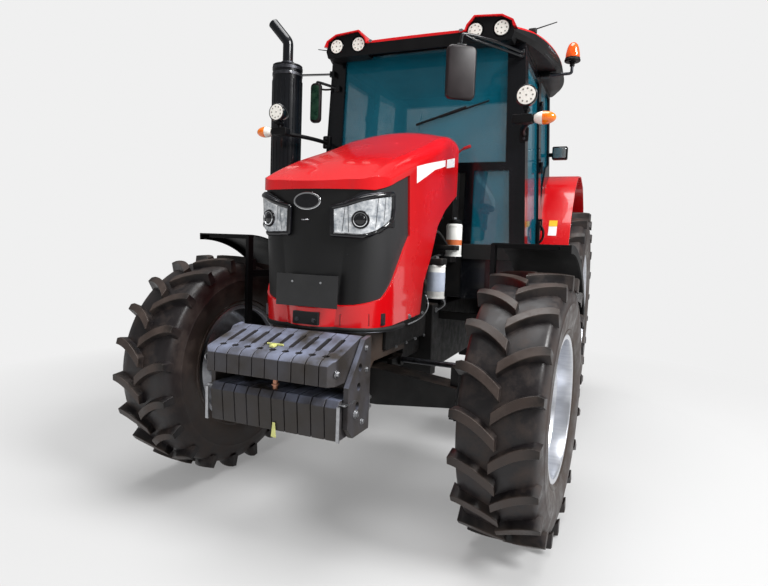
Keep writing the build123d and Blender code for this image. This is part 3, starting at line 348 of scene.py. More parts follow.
dustTone = "#7d6a5c"
finishes = {
    # baked enamel on pressed steel: deep colour under a hard gloss, a little uneven
    "redEnamel": dict(colours=("#c4060f", "#d00a13"), patch=420, grain=1.6, rough=(0.2, 0.3), bump=0.05,
                      coat=0.55, shine=0.4),
    # the same enamel in the depth of a pressed line, darker as painted shade and without its gloss
    "redShade": dict(colours=("#6a070b", "#7a090d"), patch=60, grain=2, rough=(0.3, 0.4)),
    # enamel on the filter cans: clean satin white
    "whiteEnamel": dict(colours=("#dfe0dc", "#ecece8"), patch=80, grain=2, rough=(0.25, 0.35), bump=0.05),
    # stove enamel on the cab's tubes: blue-black and bright
    "blackEnamel": dict(colours=("#06070a", "#0b0d12"), patch=300, grain=2.2, rough=(0.16, 0.28), bump=0.05,
                        coat=0.3, shine=0.35),
    # chassis paint on rough castings, with road dust
    "chassisEnamel": dict(colours=("#070708", "#0d0d0e"), patch=60, grain=5, rough=(0.4, 0.65), bump=0.5,
                          shine=0.3, dustAndTopLight=(dustTone, 0.12, 90)),
    # primed iron casting: brown grey and sandy
    "primedCasting": dict(colours=("#3d322b", "#4d3f36"), patch=70, grain=4, rough=(0.5, 0.7), bump=0.7,
                          dustAndTopLight=(dustTone, 0.35, 60)),
    # painted cast iron: dull slate with a skin like fine sand, pale blue-grey on faces that look up: painted
    # top light with some dust
    "weightIron": dict(colours=("#2b2724", "#35302c"), patch=90, grain=3.5, rough=(0.4, 0.62), bump=0.7,
                       shine=0.35, dustAndTopLight=("#6e7488", 0.95, 120)),
    # cast iron block under thin black paint
    "engineIron": dict(colours=("#09090a", "#131314"), patch=45, grain=4, rough=(0.4, 0.65), bump=0.7,
                       shine=0.3, dustAndTopLight=(dustTone, 0.2, 50)),
    # acrylonitrile styrene, moulded with a fine leather grain: soft sheen, with painted grey light on its
    # side faces
    "grilleStyrene": dict(colours=("#0b0b0c", "#111112"), patch=180, grain=1.3, rough=(0.42, 0.55),
                          bump=0.25, shine=0.35),
    # the same plastic polished: dark with clear reflections
    "glossStyrene": dict(colours=("#09090c", "#101015"), patch=120, grain=2, rough=(0.14, 0.24), bump=0.03,
                         coat=0.3),
    # moulded polypropylene of mudguards, tank and housings: satin black
    "blackPolypropylene": dict(colours=("#060607", "#0b0b0d"), patch=150, grain=1.2, rough=(0.4, 0.55),
                               bump=0.2, shine=0.2),
    # moulded styrene of the mirror shells: a warm near-black satin
    "mirrorShell": dict(colours=("#150e10", "#1d1416"), patch=150, grain=1.2, rough=(0.3, 0.42), bump=0.15,
                        shine=0.4),
    # polished green panel set in the far mirror's shell
    "greenGloss": dict(colours=("#0e2a20", "#2c4a38"), patch=35, grain=2, rough=(0.08, 0.16), bump=0.03,
                       coat=0.5),
    # grained polypropylene of the cabin's trim: dark and dull
    "cabinPlastic": dict(colours=("#1c1e21", "#26282c"), patch=90, grain=1.2, rough=(0.5, 0.65), bump=0.25),
    # lacquered aluminium of the blank plate: an even dark grey
    "darkPlate": dict(colours=("#1f1f20", "#272728"), patch=90, grain=2, rough=(0.3, 0.42), bump=0.05),
    # zinc plate on bolts and brackets: pale, slightly blue and mottled
    "zincPlate": dict(colours=("#9c9da0", "#b9babd"), patch=12, grain=1, rough=(0.3, 0.45), bump=0.15,
                      metal=1.0),
    # oiled bare steel of rods and clips: grey with a soft metal gleam
    "darkSteel": dict(colours=("#3b3c40", "#55565b"), patch=25, grain=1.5, rough=(0.3, 0.5), bump=0.3,
                      metal=0.9),
    # chromium plate: clear reflections
    "chrome": dict(colours=("#d9dbde", "#e6e7e9"), patch=60, grain=2, rough=(0.06, 0.1), metal=1.0),
    # copper-plated steel of the weight pin: dull pink
    "copperPlate": dict(colours=("#b98066", "#cf9a80"), patch=20, grain=1.5, rough=(0.35, 0.5), bump=0.1,
                        metal=0.6),
    # lime paint: pale and chalky
    "limePaint": dict(colours=("#c3c477", "#d2d389"), patch=30, grain=2, rough=(0.4, 0.5), bump=0.1),
    # vacuum-metallised plastic: bright and nearly smooth
    "brightReflector": dict(colours=("#e4e7ea", "#f2f4f5"), patch=30, grain=2, rough=(0.06, 0.14), bump=0.1,
                            metal=1.0),
    # aluminised plastic behind a clear cover, broken into fields of painted reflection and painted shade
    "lampReflector": dict(colours=("#8d949c", "#f4f6f8"), patch=26, grain=2, rough=(0.12, 0.3), bump=0.1,
                          metal=0.35, coat=1.0),
    # silvered glass: sharp reflections, a little dim and green
    "mirrorGlass": dict(colours=("#8d9a96", "#a5b0ac"), patch=200, grain=5, rough=(0.02, 0.04), metal=1.0),
    # diodes under resin domes: small and grey
    "lampDiode": dict(colours=("#6f6d68", "#8a8880"), patch=5, grain=2, rough=(0.2, 0.3), bump=0.1),
    # frosted polycarbonate of the lamp faces: pale, with fine prisms
    "lampWhite": dict(colours=("#e2e0d8", "#f3f1ea"), patch=9, grain=2.5, rough=(0.15, 0.25), bump=0.3),
    # moulded polycarbonate of the beacon's dome: amber, glossy
    "amberGlass": dict(colours=("#e2470a", "#f8641a"), patch=30, grain=3, rough=(0.08, 0.16), bump=0.1,
                       coat=0.6),
    # moulded acrylic lenses: strong colour, glossy, with a fine relief
    "amberAcrylic": dict(colours=("#e8640a", "#f7861c"), patch=18, grain=3, rough=(0.1, 0.18), bump=0.1,
                         coat=0.6),
    # the same in red, also for knobs
    "redAcrylic": dict(colours=("#a80c10", "#c4161a"), patch=18, grain=3, rough=(0.1, 0.18), bump=0.1,
                       coat=0.6),
    # soft extruded rubber: almost no shine
    "sealRubber": dict(colours=("#0b0b0c", "#131314"), patch=60, grain=1.2, rough=(0.6, 0.75), bump=0.2),
    # paper labels under varnish: flat colour
    "blueGreyLabel": dict(colours=("#a9b2c4", "#b8c1d0"), patch=25, grain=1, rough=(0.35, 0.45)),
    "orangeLabel": dict(colours=("#c2602f", "#cd6f3c"), patch=20, grain=1, rough=(0.35, 0.45)),
    # vinyl film: even colour with a slight gloss
    "whiteFilm": dict(colours=("#e9e3e6", "#f6f2f4"), patch=90, grain=1, rough=(0.25, 0.35)),
    "yellowFilm": dict(colours=("#f0b81c", "#f7c52e"), patch=30, grain=1, rough=(0.3, 0.4)),
}
materials = {name: surface(name, **settings) for name, settings in finishes.items()}
# the dark tone given to each wheel's well is painted shade
for name, inner, outer in (("frontSilver", 0.79, 0.915), ("rearSilver", 0.64, 0.82)):   # from the middle
    materials[name] = wheelPaint(name, ("#c2c5cc", "#d6d8dd"), (0.24, 0.38), "#1c1b1c", inner, outer)
materials["cabGlass"] = glazing("cabGlass", ("#0b6278", "#11768d"), (0.46, 0.58))
materials["seatCloth"] = wovenCloth("seatCloth", ("#141518", "#2c2e33"), 6)
# the grille's side faces get a painted highlight
paintedSideLight(materials["grilleStyrene"], "#2d2d2e")
spins = {j["child"]: j for j in frame["joints"] if j["name"].startswith("spin_")}
for wheel, joint in spins.items():
    materials[wheel] = treadRubber("treadRubber_" + wheel, joint["pos_m"], joint["axis"], joint["pos_m"][2])
print("materials ready:", len(materials))


# CAD pieces whose form is right: their edges are rounded and they get their finish
plainPieces = [
    # node, piece, material, slot, edge radius
    ("bonnet", "bonnetShell", "redEnamel", "body_red", 0.003),
    ("grille", "grilleShell", "grilleStyrene", "grille_charcoal", 0.003),
    ("headlamps", "headlampBodies", "glossStyrene", "lamp_lens", 0.002),
    ("cab_frame", "cabFrame", "blackEnamel", "cab_black", 0.004),
    ("cab_glass", "cabPanes", "cabGlass", "cab_glass", 0.001),
    ("cab_floor", "cabFloor", "cabinPlastic", "grille_charcoal", 0.004),
    ("firewall", "firewallPanel", "chassisEnamel", "grille_charcoal", 0.004),
    ("roof", "roofShell", "redEnamel", "body_red", 0.008),
    ("roof_trim", "roofTrim", "blackPolypropylene", "cab_black", 0.004),
    ("steering_column", "steeringColumn", "cabinPlastic", "grille_charcoal", 0.004),
    ("side_console", "sideConsole", "cabinPlastic", "grille_charcoal", 0.008),
    ("exhaust", "exhaustPipe", "blackEnamel", "chassis_black", 0.003),
    ("steps_left", "stepsLeft", "chassisEnamel", "chassis_black", 0.003),
    ("fuel_tank", "fuelTank", "blackPolypropylene", "chassis_black", 0.01),
    ("engine", "engineBlock", "engineIron", "engine_grey", 0.006),
    ("radiator", "radiatorCore", "chassisEnamel", "chassis_black", 0.003),
    ("gearbox", "gearboxCase", "chassisEnamel", "chassis_black", 0.008),
    ("front_support", "frontSupport", "primedCasting", "support_brown", 0.008),
    ("front_axle", "frontAxle", "chassisEnamel", "chassis_black", 0.006),
    ("front_drive_shaft", "frontDriveShaft", "chassisEnamel", "chassis_black", 0.003),
    ("rear_axle", "rearAxle", "chassisEnamel", "chassis_black", 0.008),
    ("weight_carrier", "weightCarrier", "weightIron", "chassis_black", 0.003),
    ("hitch_frame", "hitchFrame", "chassisEnamel", "chassis_black", 0.005),
    ("drawbar", "drawbarBeam", "chassisEnamel", "chassis_black", 0.003),
    ("pto_shaft", "ptoShaft", "darkSteel", "bright_steel", 0.002),
]
movingPieces = [
    ("steering_rod", "steeringRod", "darkSteel", "chassis_black", 0.002, "steering_rod"),
    ("lower_links", "lowerLinks", "chassisEnamel", "chassis_black", 0.003, "lower_links"),
    ("lift_arms", "liftArms", "chassisEnamel", "chassis_black", 0.003, "lift_arms"),
    ("lift_rods", "liftRods", "chassisEnamel", "chassis_black", 0.003, "lift_rods"),
]
lidNodes = ("bonnet", "grille", "headlamps")
for node, piece, finishName, slotName, radius in plainPieces:
    dressed(node, piece, finishName, "bonnet_lid" if node in lidNodes else "chassis", radius)
for node, piece, finishName, slotName, radius, body in movingPieces:
    dressed(node, piece, finishName, body, radius)
for side in ("left", "right"):
    tail = side.capitalize()
    dressed("knuckle_" + side, "knuckle" + tail, "chassisEnamel", "knuckle_" + side, 0.005)
    dressed("fender_front_" + side, "frontGuard" + tail, "blackPolypropylene", "knuckle_" + side,
            0.003)
    dressed("fender_rear_" + side, "rearFender" + tail, "redEnamel", "chassis", 0.004)
    dressed("door_" + side, "doorFrame" + tail, "blackEnamel", "door_" + side, 0.004)
    dressed("door_glass_" + side, "doorPane" + tail, "cabGlass", "door_" + side, 0.001)
print("CAD pieces dressed")


# each wheel is made with its axle along +X at the origin and then placed
wheelParts = {
    "front": {"lugs": 20, "width": 0.382, "seat": 0.338, "rimHalf": 0.165, "lugHalf": (0.024, 0.02),
              "hubRadius": 0.118, "hubIn": -0.144, "hubOut": 0.034, "discAt": 0.01, "capRadius": 0.084,
              "studs": 8},
    "rear": {"lugs": 23, "width": 0.467, "seat": 0.485, "rimHalf": 0.207, "lugHalf": (0.03, 0.0245),
             "hubRadius": 0.15, "hubIn": -0.124, "hubOut": 0.06, "discAt": 0.03, "capRadius": 0.096,
             "studs": 10},
}
lugShape = {"depth": 0.038, "sweep": 0.155, "start": -0.105, "hook": 1.9, "draft": 0.013, "drop": 0.01}


def ring(half):  # a profile given for one side, closed by its mirror image
    return [(-a, r) for a, r in half] + [(a, r) for a, r in reversed(half)]


def addCarcass(bm, part, radius):
    width, seat = part["width"], part["seat"]
    tread = radius - lugShape["depth"]
    wall = tread - seat
    half = [(0.3, -0.004), (0.405, 0.0), (0.425, 0.05), (0.43, 0.09), (0.448, 0.115), (0.452, 0.15),
            (0.444, 0.165), (0.47, 0.27), (0.486, 0.42), (0.4895, 0.5), (0.484, 0.6), (0.487, 0.615),
            (0.48, 0.635), (0.474, 0.72), (0.462, 0.8), (0.445, 0.875), (0.425, 0.93), (0.39, 0.965),
            (0.28, 0.99), (0.1, 1.0)]
    addRound(bm, ring([(a * width, seat + b * wall) for a, b in half]), (0, 0, 0), (1, 0, 0), 96)


def addLug(bm, part, radius, side, turn):
    width, tread = part["width"], radius - lugShape["depth"]
    high, low = part["lugHalf"]
    made = bmesh.ops.create_grid(bm, x_segments=8, y_segments=1, size=1.0)["verts"]
    where = {v: ((v.co.x + 1) / 2, v.co.y) for v in made}
    faces = list({f for v in made for f in v.link_faces})
    base = vertsIn(bmesh.ops.extrude_face_region(bm, geom=faces)["geom"])
    for v in base:
        where[v] = ((v.co.x + 1) / 2, v.co.y)

    def put(v, across, along, deep):
        half = high + (low - high) * across + (lugShape["draft"] if deep else 0.0)
        swept = lugShape["start"] + lugShape["sweep"] * (1 - (1 - across) ** lugShape["hook"])
        if along > 0 and across > 0.93:   # the end is cut back in a step
            half *= 0.62
        top = radius - lugShape["drop"] * across ** 3
        far = tread - 0.014 - 0.03 * across ** 6 if deep else top
        angle = turn - (swept * radius + along * half) / radius
        reach = -0.012 + (0.487 * width + 0.012) * across
        v.co = (side * reach, far * math.cos(angle), far * math.sin(angle))

    for v in made:
        put(v, *where[v], False)
    for v in base:
        put(v, *where[v], True)


def addTread(bm, part, radius):
    for side in (-1, 1):
        for step in range(part["lugs"]):
            addLug(bm, part, radius, side, math.tau * (step + 0.25 * side) / part["lugs"] - math.pi / 2)


def addRim(bm, part):
    seat, half = part["seat"], part["rimHalf"]
    flange, bed = seat + 0.0195, seat - 0.026
    top, low = bed - 0.002, bed - 0.009
    band = [(-half, flange - 0.004), (-half + 0.004, flange), (-half + 0.011, flange - 0.002),
            (-half + 0.012, seat - 0.001), (-0.6 * half, seat - 0.001), (-0.32 * half, bed),
            (0.2 * half, bed), (0.48 * half, seat - 0.001), (half - 0.012, seat - 0.001),
            (half - 0.011, flange - 0.002), (half - 0.004, flange), (half, flange - 0.004),
            (half - 0.001, seat - 0.006), (half - 0.016, seat - 0.01), (0.54 * half, seat - 0.01),
            (0.5 * half, seat - 0.016), (0.25 * half, low), (-0.36 * half, low),
            (-0.62 * half, seat - 0.01), (-half + 0.016, seat - 0.01), (-half + 0.001, seat - 0.006)]
    addRound(bm, band, (0, 0, 0), (1, 0, 0), 96)
    at, hub = part["discAt"], part["hubRadius"]
    disc = [(at - 0.03, hub - 0.006), (at - 0.026, 0.52 * seat), (at - 0.006, 0.6 * seat),
            (at + 0.002, 0.72 * seat), (0.01, 0.86 * seat), (0.022, top), (0.036, top), (0.024, 0.87 * seat),
            (at + 0.016, 0.73 * seat), (at + 0.008, 0.61 * seat), (at - 0.012, 0.53 * seat),
            (at - 0.016, hub - 0.006)]
    addRound(bm, disc, (0, 0, 0), (1, 0, 0), 96)
    for step in range(8):  # clamps between the disc and the band
        turn = Matrix.Rotation(math.tau * (step + 0.5) / 8, 4, "X")
        clamp = addBox(bm, (0.012, -0.03, 0.8 * seat), (0.046, 0.03, bed - 0.01))
        bmesh.ops.transform(bm, matrix=turn, verts=clamp)
    addRod(bm, (0.046, 0.05, 0.9 * seat), (0.075, 0.06, 0.915 * seat), 0.005, 10)   # valve


def around(count, offset=0.0):  # unit vectors in even steps round the axle
    turns = [math.tau * (step + offset) / count for step in range(count)]
    return [Vector((0, math.cos(a), math.sin(a))) for a in turns]


def addHub(bm, part):
    inner, outer, hub, cap = (part[k] for k in ("hubIn", "hubOut", "hubRadius", "capRadius"))
    shape = [(inner, 0.03), (inner, hub - 0.006), (inner + 0.006, hub), (-0.03, hub), (-0.026, hub + 0.022),
             (-0.01, hub + 0.022), (-0.006, hub - 0.004), (outer - 0.008, hub - 0.008), (outer, hub - 0.016),
             (outer + 0.001, cap + 0.004), (outer + 0.02, cap), (outer + 0.03, cap - 0.012),
             (outer + 0.0325, cap - 0.022), (outer + 0.0325, 0.02)]
    addRound(bm, shape + [(inner, 0.02)], (0, 0, 0), (1, 0, 0), 64)
    addRod(bm, (inner, 0, 0), (outer + 0.031, 0, 0), 0.024, 24)
    for out in around(10):
        addBolt(bm, Vector((outer - 0.001, 0, 0)) + out * (hub - 0.024), (1, 0, 0), 0.0085, False)


def addStuds(bm, part):
    for out in around(part["studs"], 0.5):
        spot = Vector((part["discAt"] - 0.017, 0, 0)) + out * (part["hubRadius"] + 0.036)
        addBolt(bm, spot, (1, 0, 0), 0.0165)
        addRod(bm, spot, spot + Vector((0.026, 0, 0)), 0.009, 12)
    for out in around(8, 0.5):
        addBolt(bm, Vector((0.046, 0, 0)) + out * (0.84 * part["seat"]), (1, 0, 0), 0.011)


def placed(bm, joint, side):  # from the origin to the wheel's own axle
    spot, axis = Vector(joint["pos_m"]), Vector(joint["axis"])
    turn = Matrix.Rotation(math.atan2(axis.y, axis.x), 4, "Z")
    if side < 0:
        bmesh.ops.scale(bm, vec=(-1, 1, 1), verts=bm.verts[:])
        bmesh.ops.reverse_faces(bm, faces=bm.faces[:])
    bmesh.ops.transform(bm, matrix=Matrix.Translation(spot) @ turn, verts=bm.verts[:])


def makeWheel(end, side):
    part, tail = wheelParts[end], sideNames[side]
    name, body = end + "{}" + tail.capitalize(), "wheel_" + end + "_" + tail
    joint = next(j for j in frame["joints"] if j["name"] == "spin_" + end + "_" + tail)
    radius = joint["pos_m"][2] - 0.0008   # the lowest lugs just touch the ground
    tread = bmesh.new()
    addCarcass(tread, part, radius)
    addTread(tread, part, radius)
    placed(tread, joint, side)
    finish(name.format("Tyre"), tread, body, body,
           ("tyre_" + end + "_" + tail,), bevel=0.0035, angle=38)
    steel = bmesh.new()
    addRim(steel, part)
    placed(steel, joint, side)
    finish(name.format("Rim"), steel, end + "Silver", body, ("rim_" + end + "_" + tail,),
           bevel=0.002, angle=40)
    hub = bmesh.new()
    addHub(hub, part)
    placed(hub, joint, side)
    finish(name.format("Hub"), hub, end + "Silver", body, bevel=0.0015, angle=40)
    studs = bmesh.new()
    addStuds(studs, part)
    placed(studs, joint, side)
    finish(name.format("Studs"), studs, "zincPlate", body, bevel=0.0008, angle=40, segments=1)


for end in wheelParts:
    for side in (1, -1):
        makeWheel(end, side)
print("wheels made")


weightShape = {"count": 10, "pitch": 0.064, "thick": 0.0605, "holeAt": 0.058, "holeHalf": (0.015, 0.01),
               "slotFrom": 0.092, "slotTo": 0.214, "slotDeep": 0.0095}


def weightPlan(front, back, ends):
    # seen from above: half an oval hole and half a long slot on each side that has a neighbour
    half, shape = weightShape["thick"] / 2, weightShape
    corners = []
    for side in (-1, 1):
        edge = [(front, 0.0)]
        if ends[side]:
            deep, long = shape["holeHalf"]
            middle = front + shape["holeAt"]
            edge += [(middle - long * math.cos(a), deep * math.sin(a)) for a in
                     [math.pi * i / 6 for i in range(7)]]
            edge += [(front + shape["slotFrom"], 0.0), (front + shape["slotFrom"] + 0.006, shape["slotDeep"]),
                     (front + shape["slotTo"] - 0.006, shape["slotDeep"]), (front + shape["slotTo"], 0.0)]
        edge += [(back, 0.0)]
        run = [(side * (half - deep), y) for y, deep in edge]
        corners += run if side < 0 else run[::-1]
    return corners


def cutAway(bm, spots, normals):  # slices off what lies beyond each plane and closes the cut
    for spot, normal in zip(spots, normals):
        cut = bmesh.ops.bisect_plane(bm, geom=everything(bm), plane_co=spot, plane_no=normal,
                                     clear_outer=True)["geom_cut"]
        bmesh.ops.holes_fill(bm, edges=[e for e in cut if isinstance(e, bmesh.types.BMEdge)], sides=0)


def upperWeight(index):
    low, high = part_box("weights_upper")
    front, back = low.y, high.y
    bm = bmesh.new()
    ends = {-1: index > 0, 1: index < weightShape["count"] - 1}
    addPrism(bm, weightPlan(front, back, ends), (0.828, high.z), 2)
    cutAway(bm, [(0, front, 0.912), (0, front + 0.02, 0.93), (0, back - 0.015, high.z)],
            [(0, -0.67, 0.74), (0, -0.285, 0.958), (0, 0.37, 0.93)])
    half = weightShape["thick"] / 2
    addPrism(bm, [(back - 0.145, 0.8283), (back - 0.125, low.z), (back, low.z), (back, 0.8283)],
             (-half, half), 0)   # the hooked foot at the back
    if index in (0, weightShape["count"] - 1):   # outer front corner cut off
        side = 1 if index else -1
        cutAway(bm, [(side * half, front + 0.028, 0)], [(side * 0.76, -0.65, 0)])
    return bm


def lowerWeight(_):  # all ten are alike
    low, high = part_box("weights_lower")
    front, back = low.y, high.y
    half = weightShape["thick"] / 2
    bm = bmesh.new()
    addPrism(bm, [(front + 0.014, low.z), (front + 0.001, low.z + 0.142), (front + 0.02, high.z),
                  (back, high.z), (back, low.z)], (-half, half), 0)
    return bm


def weightRow(name, make, node):
    row = bmesh.new()
    for index in range(weightShape["count"]):
        one = make(index)
        x = (index - (weightShape["count"] - 1) / 2) * weightShape["pitch"]
        bmesh.ops.translate(one, vec=(x, 0, 0), verts=one.verts[:])
        pourInto(row, one)
    finish(name, row, "weightIron", "chassis", (node,), bevel=0.0035, angle=30)


def weightFittings():
    low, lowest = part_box("weights_upper")[0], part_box("weights_lower")[0]
    front = low.y
    pin = bmesh.new()   # clamp pin between the two tiers
    x, y = -0.01, front + 0.1
    addRod(pin, (x, y, lowest.z + 0.16), (x, y, low.z + 0.045), 0.011)
    addRod(pin, (x, y, lowest.z + 0.186), (x, y, lowest.z + 0.192), 0.017)
    finish("weightPin", pin, "copperPlate", "chassis", bevel=0.001)
    strap = bmesh.new()  # lashing ends above and below
    addBox(strap, (-0.052, front + 0.092, 0.953), (0.03, front + 0.098, 0.961))
    addPrism(strap, [(-0.022, front + 0.066), (-0.004, front + 0.066), (-0.002, front + 0.096),
                     (-0.024, front + 0.096)], (0.947, 0.957), 2)
    addPrism(strap, [(0.002, lowest.z - 0.026), (0.027, lowest.z - 0.028), (0.021, lowest.z + 0.038),
                     (0.009, lowest.z + 0.038)], (front + 0.054, front + 0.0575), 1)
    finish("lashingStrap", strap, "limePaint", "chassis", bevel=0.0012)
    steel = bmesh.new()
    for side in (-1, 1):
        x = side * 0.318
        for y, z in ((front + 0.034, 0.88), (front + 0.212, 0.905)):   # bolts through the end weights
            addRod(steel, (x, y, z), (x + side * 0.003, y, z), 0.017, 24)
            addBolt(steel, (x + side * 0.003, y, z), (side, 0, 0), 0.011, False)
    finish("weightBolts", steel, "zincPlate", "chassis", bevel=0.0008)


def carrierFittings():
    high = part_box("weight_carrier")[1]
    back = high.y - 0.022
    steel = bmesh.new()
    for side in (-1, 1):
        x = side * high.x
        for away, z, size in ((0.03, 0.955, 0.011), (0.12, 0.69, 0.015), (0.055, 0.64, 0.011),
                              (0.02, 0.86, 0.01)):
            addBolt(steel, (x, back - away, z), (side, 0, 0), size)
        inward = x - side * 0.02
        for z in (0.675, 0.717):   # clevis behind the side plate
            addBox(steel, (inward - 0.01, back + 0.022, z - 0.006),
                   (inward + 0.01, back + 0.07, z + 0.006))
        addRod(steel, (inward, back + 0.052, 0.662), (inward, back + 0.052, 0.732), 0.009, 16)
        edge = sorted((x + side * 0.001, x - side * 0.034))
        addBox(steel, (edge[0], back - 0.214, 0.742), (edge[1], back - 0.12, 0.75))
        addBox(steel, (edge[0] + 0.003, back - 0.2295, 0.594), (edge[0] + 0.018, back - 0.2215, 0.742))
    finish("carrierBolts", steel, "zincPlate", "chassis", bevel=0.0012)


weightRow("weightsUpper", upperWeight, "weights_upper")
weightRow("weightsLower", lowerWeight, "weights_lower")
weightFittings()
carrierFittings()
print("front weights made")


def addPlate(bm, corners, thick):  # a thin plate over its corners, thick towards their normal
    face = bm.faces.new([bm.verts.new(c) for c in corners])
    face.normal_update()
    push = face.normal * thick
    top = bmesh.ops.extrude_face_region(bm, geom=[face])["geom"]
    bmesh.ops.translate(bm, vec=push, verts=vertsIn(top))


surfaces = {}


def ontoNode(node, start, toward, lift=0.0):  # where a line first meets the CAD piece
    if node not in surfaces:
        bm = bmesh.new()
        bm.from_mesh(frame["nodes"][node].data)
        bmesh.ops.transform(bm, matrix=frame["nodes"][node].matrix_world, verts=bm.verts[:])
        surfaces[node] = BVHTree.FromBMesh(bm)
        bm.free()
    way = Vector(toward).normalized()
    spot, normal, _, _ = surfaces[node].ray_cast(Vector(start), way)
    return (spot - way * lift, normal) if spot is not None else (None, None)


def frontSpot(node, x, z, start=-3):  # where a line from the front meets the piece
    return ontoNode(node, (x, start, z), (0, 1, 0))[0]


def sideSpot(node, side, y, z, start=0.6):  # the same from the side
    return ontoNode(node, (side * start, y, z), (-side, 0, 0))[0]


def finely(outline, spacing):  # points along a closed outline, about the spacing apart
    points = []
    for (a, b), (c, d) in zip(outline, outline[1:] + outline[:1]):
        count = max(1, int(math.hypot(c - a, d - b) / spacing))
        points += [(a + (c - a) * i / count, b + (d - b) * i / count) for i in range(count)]
    return points


def addDrape(bm, node, outline, axis, start, toward, lift, thick):
    # a thin film laid over a CAD face: the outline is cut finely and cast onto it
    spacing = 0.02
    others = [i for i in range(3) if i != axis]
    points = finely(outline, spacing)
    flat = bmesh.new()
    corners = []
    for a, b in points:
        spot = [0.0, 0.0, 0.0]
        spot[others[0]], spot[others[1]], spot[axis] = a, b, start
        corners.append(flat.verts.new(spot))
    flat.faces.new(corners)
    lows = [min(p[i] for p in points) for i in (0, 1)]
    highs = [max(p[i] for p in points) for i in (0, 1)]
    for i in (0, 1):
        normal = [0.0, 0.0, 0.0]
        normal[others[i]] = 1.0
        at = lows[i] + spacing
        while at < highs[i] - spacing * 0.2:
            spot = [0.0, 0.0, 0.0]
            spot[others[i]] = at
            bmesh.ops.bisect_plane(flat, geom=everything(flat), plane_co=spot, plane_no=normal)
            at += spacing
    for v in flat.verts:
        spot, _ = ontoNode(node, v.co, toward, lift)
        if spot is not None:
            v.co = spot
    flat.normal_update()
    top = bmesh.ops.extrude_face_region(flat, geom=flat.faces[:])["geom"]
    way = Vector(toward).normalized()
    bmesh.ops.translate(flat, vec=-way * thick, verts=vertsIn(top))
    pourInto(bm, flat)


stripes = {   # white films on the bonnet's sides: corners as (y, z)
    "long": [(-1.325, 1.716), (-1.332, 1.8), (-1.2, 1.832), (-0.85, 1.905), (-0.85, 1.868),
             (-1.04, 1.822), (-1.19, 1.765)],
    "short": [(-0.82, 1.862), (-0.82, 1.912), (-0.66, 1.945), (-0.66, 1.892)],
    "lift": 0.0006, "thick": 0.0005,
}


def bonnetTrim():
    film = bmesh.new()
    for side in (1, -1):
        for shape in (stripes["long"], stripes["short"]):
            addDrape(film, "bonnet", shape, 0, side * 0.6, (-side, 0, 0), stripes["lift"], stripes["thick"])
    finish("sideStripes", film, "whiteFilm", "bonnet_lid", tidy=False, angle=50)


plateShape = {"half": 0.162, "low": 1.1, "high": 1.248, "off": 0.01, "thick": 0.006,
              "screwX": 0.075, "screwZ": 1.214}
badgeShape = {"x": -0.018, "z": 1.585, "rim": (0.072, 0.041), "field": (0.063, 0.033), "corners": 40}


def frontFace():
    face = frontSpot("grille", 0, 1.3)
    top = frontSpot("grille", 0, 1.5)
    lean = (top.y - face.y) / 0.2
    seam = bmesh.new()   # recessed joint lines of the two grille halves
    for x0, z0, x1, z1 in ((0.176, 1.345, 0.176, 1.04), (-0.176, 1.345, -0.176, 1.04),
                           (0.176, 1.345, 0.262, 1.405), (-0.176, 1.345, -0.262, 1.405)):
        start = frontSpot("grille", x0, z0)
        end = frontSpot("grille", x1, z1)
        if start is not None and end is not None:
            addRod(seam, start, end, 0.0022, 8)
    finish("grilleSeams", seam, "sealRubber", "bonnet_lid")
    plate = bmesh.new()   # blank number plate, two screws
    corners = []
    half, low, high = (plateShape[k] for k in ("half", "low", "high"))
    for x, z in ((-half, low), (half, low), (half, high), (-half, high)):
        corners.append((x, frontSpot("grille", 0, z).y - plateShape["off"], z))
    addPlate(plate, corners, plateShape["thick"])
    finish("numberPlate", plate, "darkPlate", "bonnet_lid", bevel=0.0015)
    screws = bmesh.new()
    y, z = frontSpot("grille", 0, plateShape["screwZ"]).y, plateShape["screwZ"]
    for x in (-plateShape["screwX"], plateShape["screwX"]):
        addRod(screws, (x, y - 0.016, z), (x, y - 0.019, z), 0.0055, 14)
    hook = frontSpot("grille", -0.024, 1.5)
    addTube(screws, [hook + Vector(p) for p in ((-0.016, 0, 0), (-0.018, -0.016, 0), (0, -0.022, -0.002),
                                                (0.018, -0.016, 0), (0.016, 0, 0))], 0.003)
    finish("plateScrews", screws, "zincPlate", "bonnet_lid", bevel=0.0006)
    badge = bmesh.new()   # blank oval badge: dark field in a bright rim
    spot = frontSpot("grille", badgeShape["x"], badgeShape["z"])
    field, count = bmesh.new(), badgeShape["corners"]
    for piece, half, low, thick in ((badge, badgeShape["rim"], 0.0, 0.008),
                                    (field, badgeShape["field"], 0.004, 0.0052)):
        outline = [(spot.x + half[0] * math.cos(math.tau * i / count), spot.y - low,
                    spot.z + half[1] * math.sin(math.tau * i / count)) for i in range(count)]
        addPlate(piece, outline, thick)
        bmesh.ops.rotate(piece, cent=spot, matrix=Matrix.Rotation(-lean, 3, "X"), verts=piece.verts[:])
    finish("badgeRim", badge, "chrome", "bonnet_lid", bevel=0.003, segments=3)
    finish("badgeField", field, "glossStyrene", "bonnet_lid", bevel=0.0015)


sealShape = {"radius": 0.011, "below": 0.008, "lipRadius": 0.0022, "lipDrops": (0.001, 0.02),
             "frontStep": 0.03, "sideFrom": -1.76, "sideStep": 0.045}


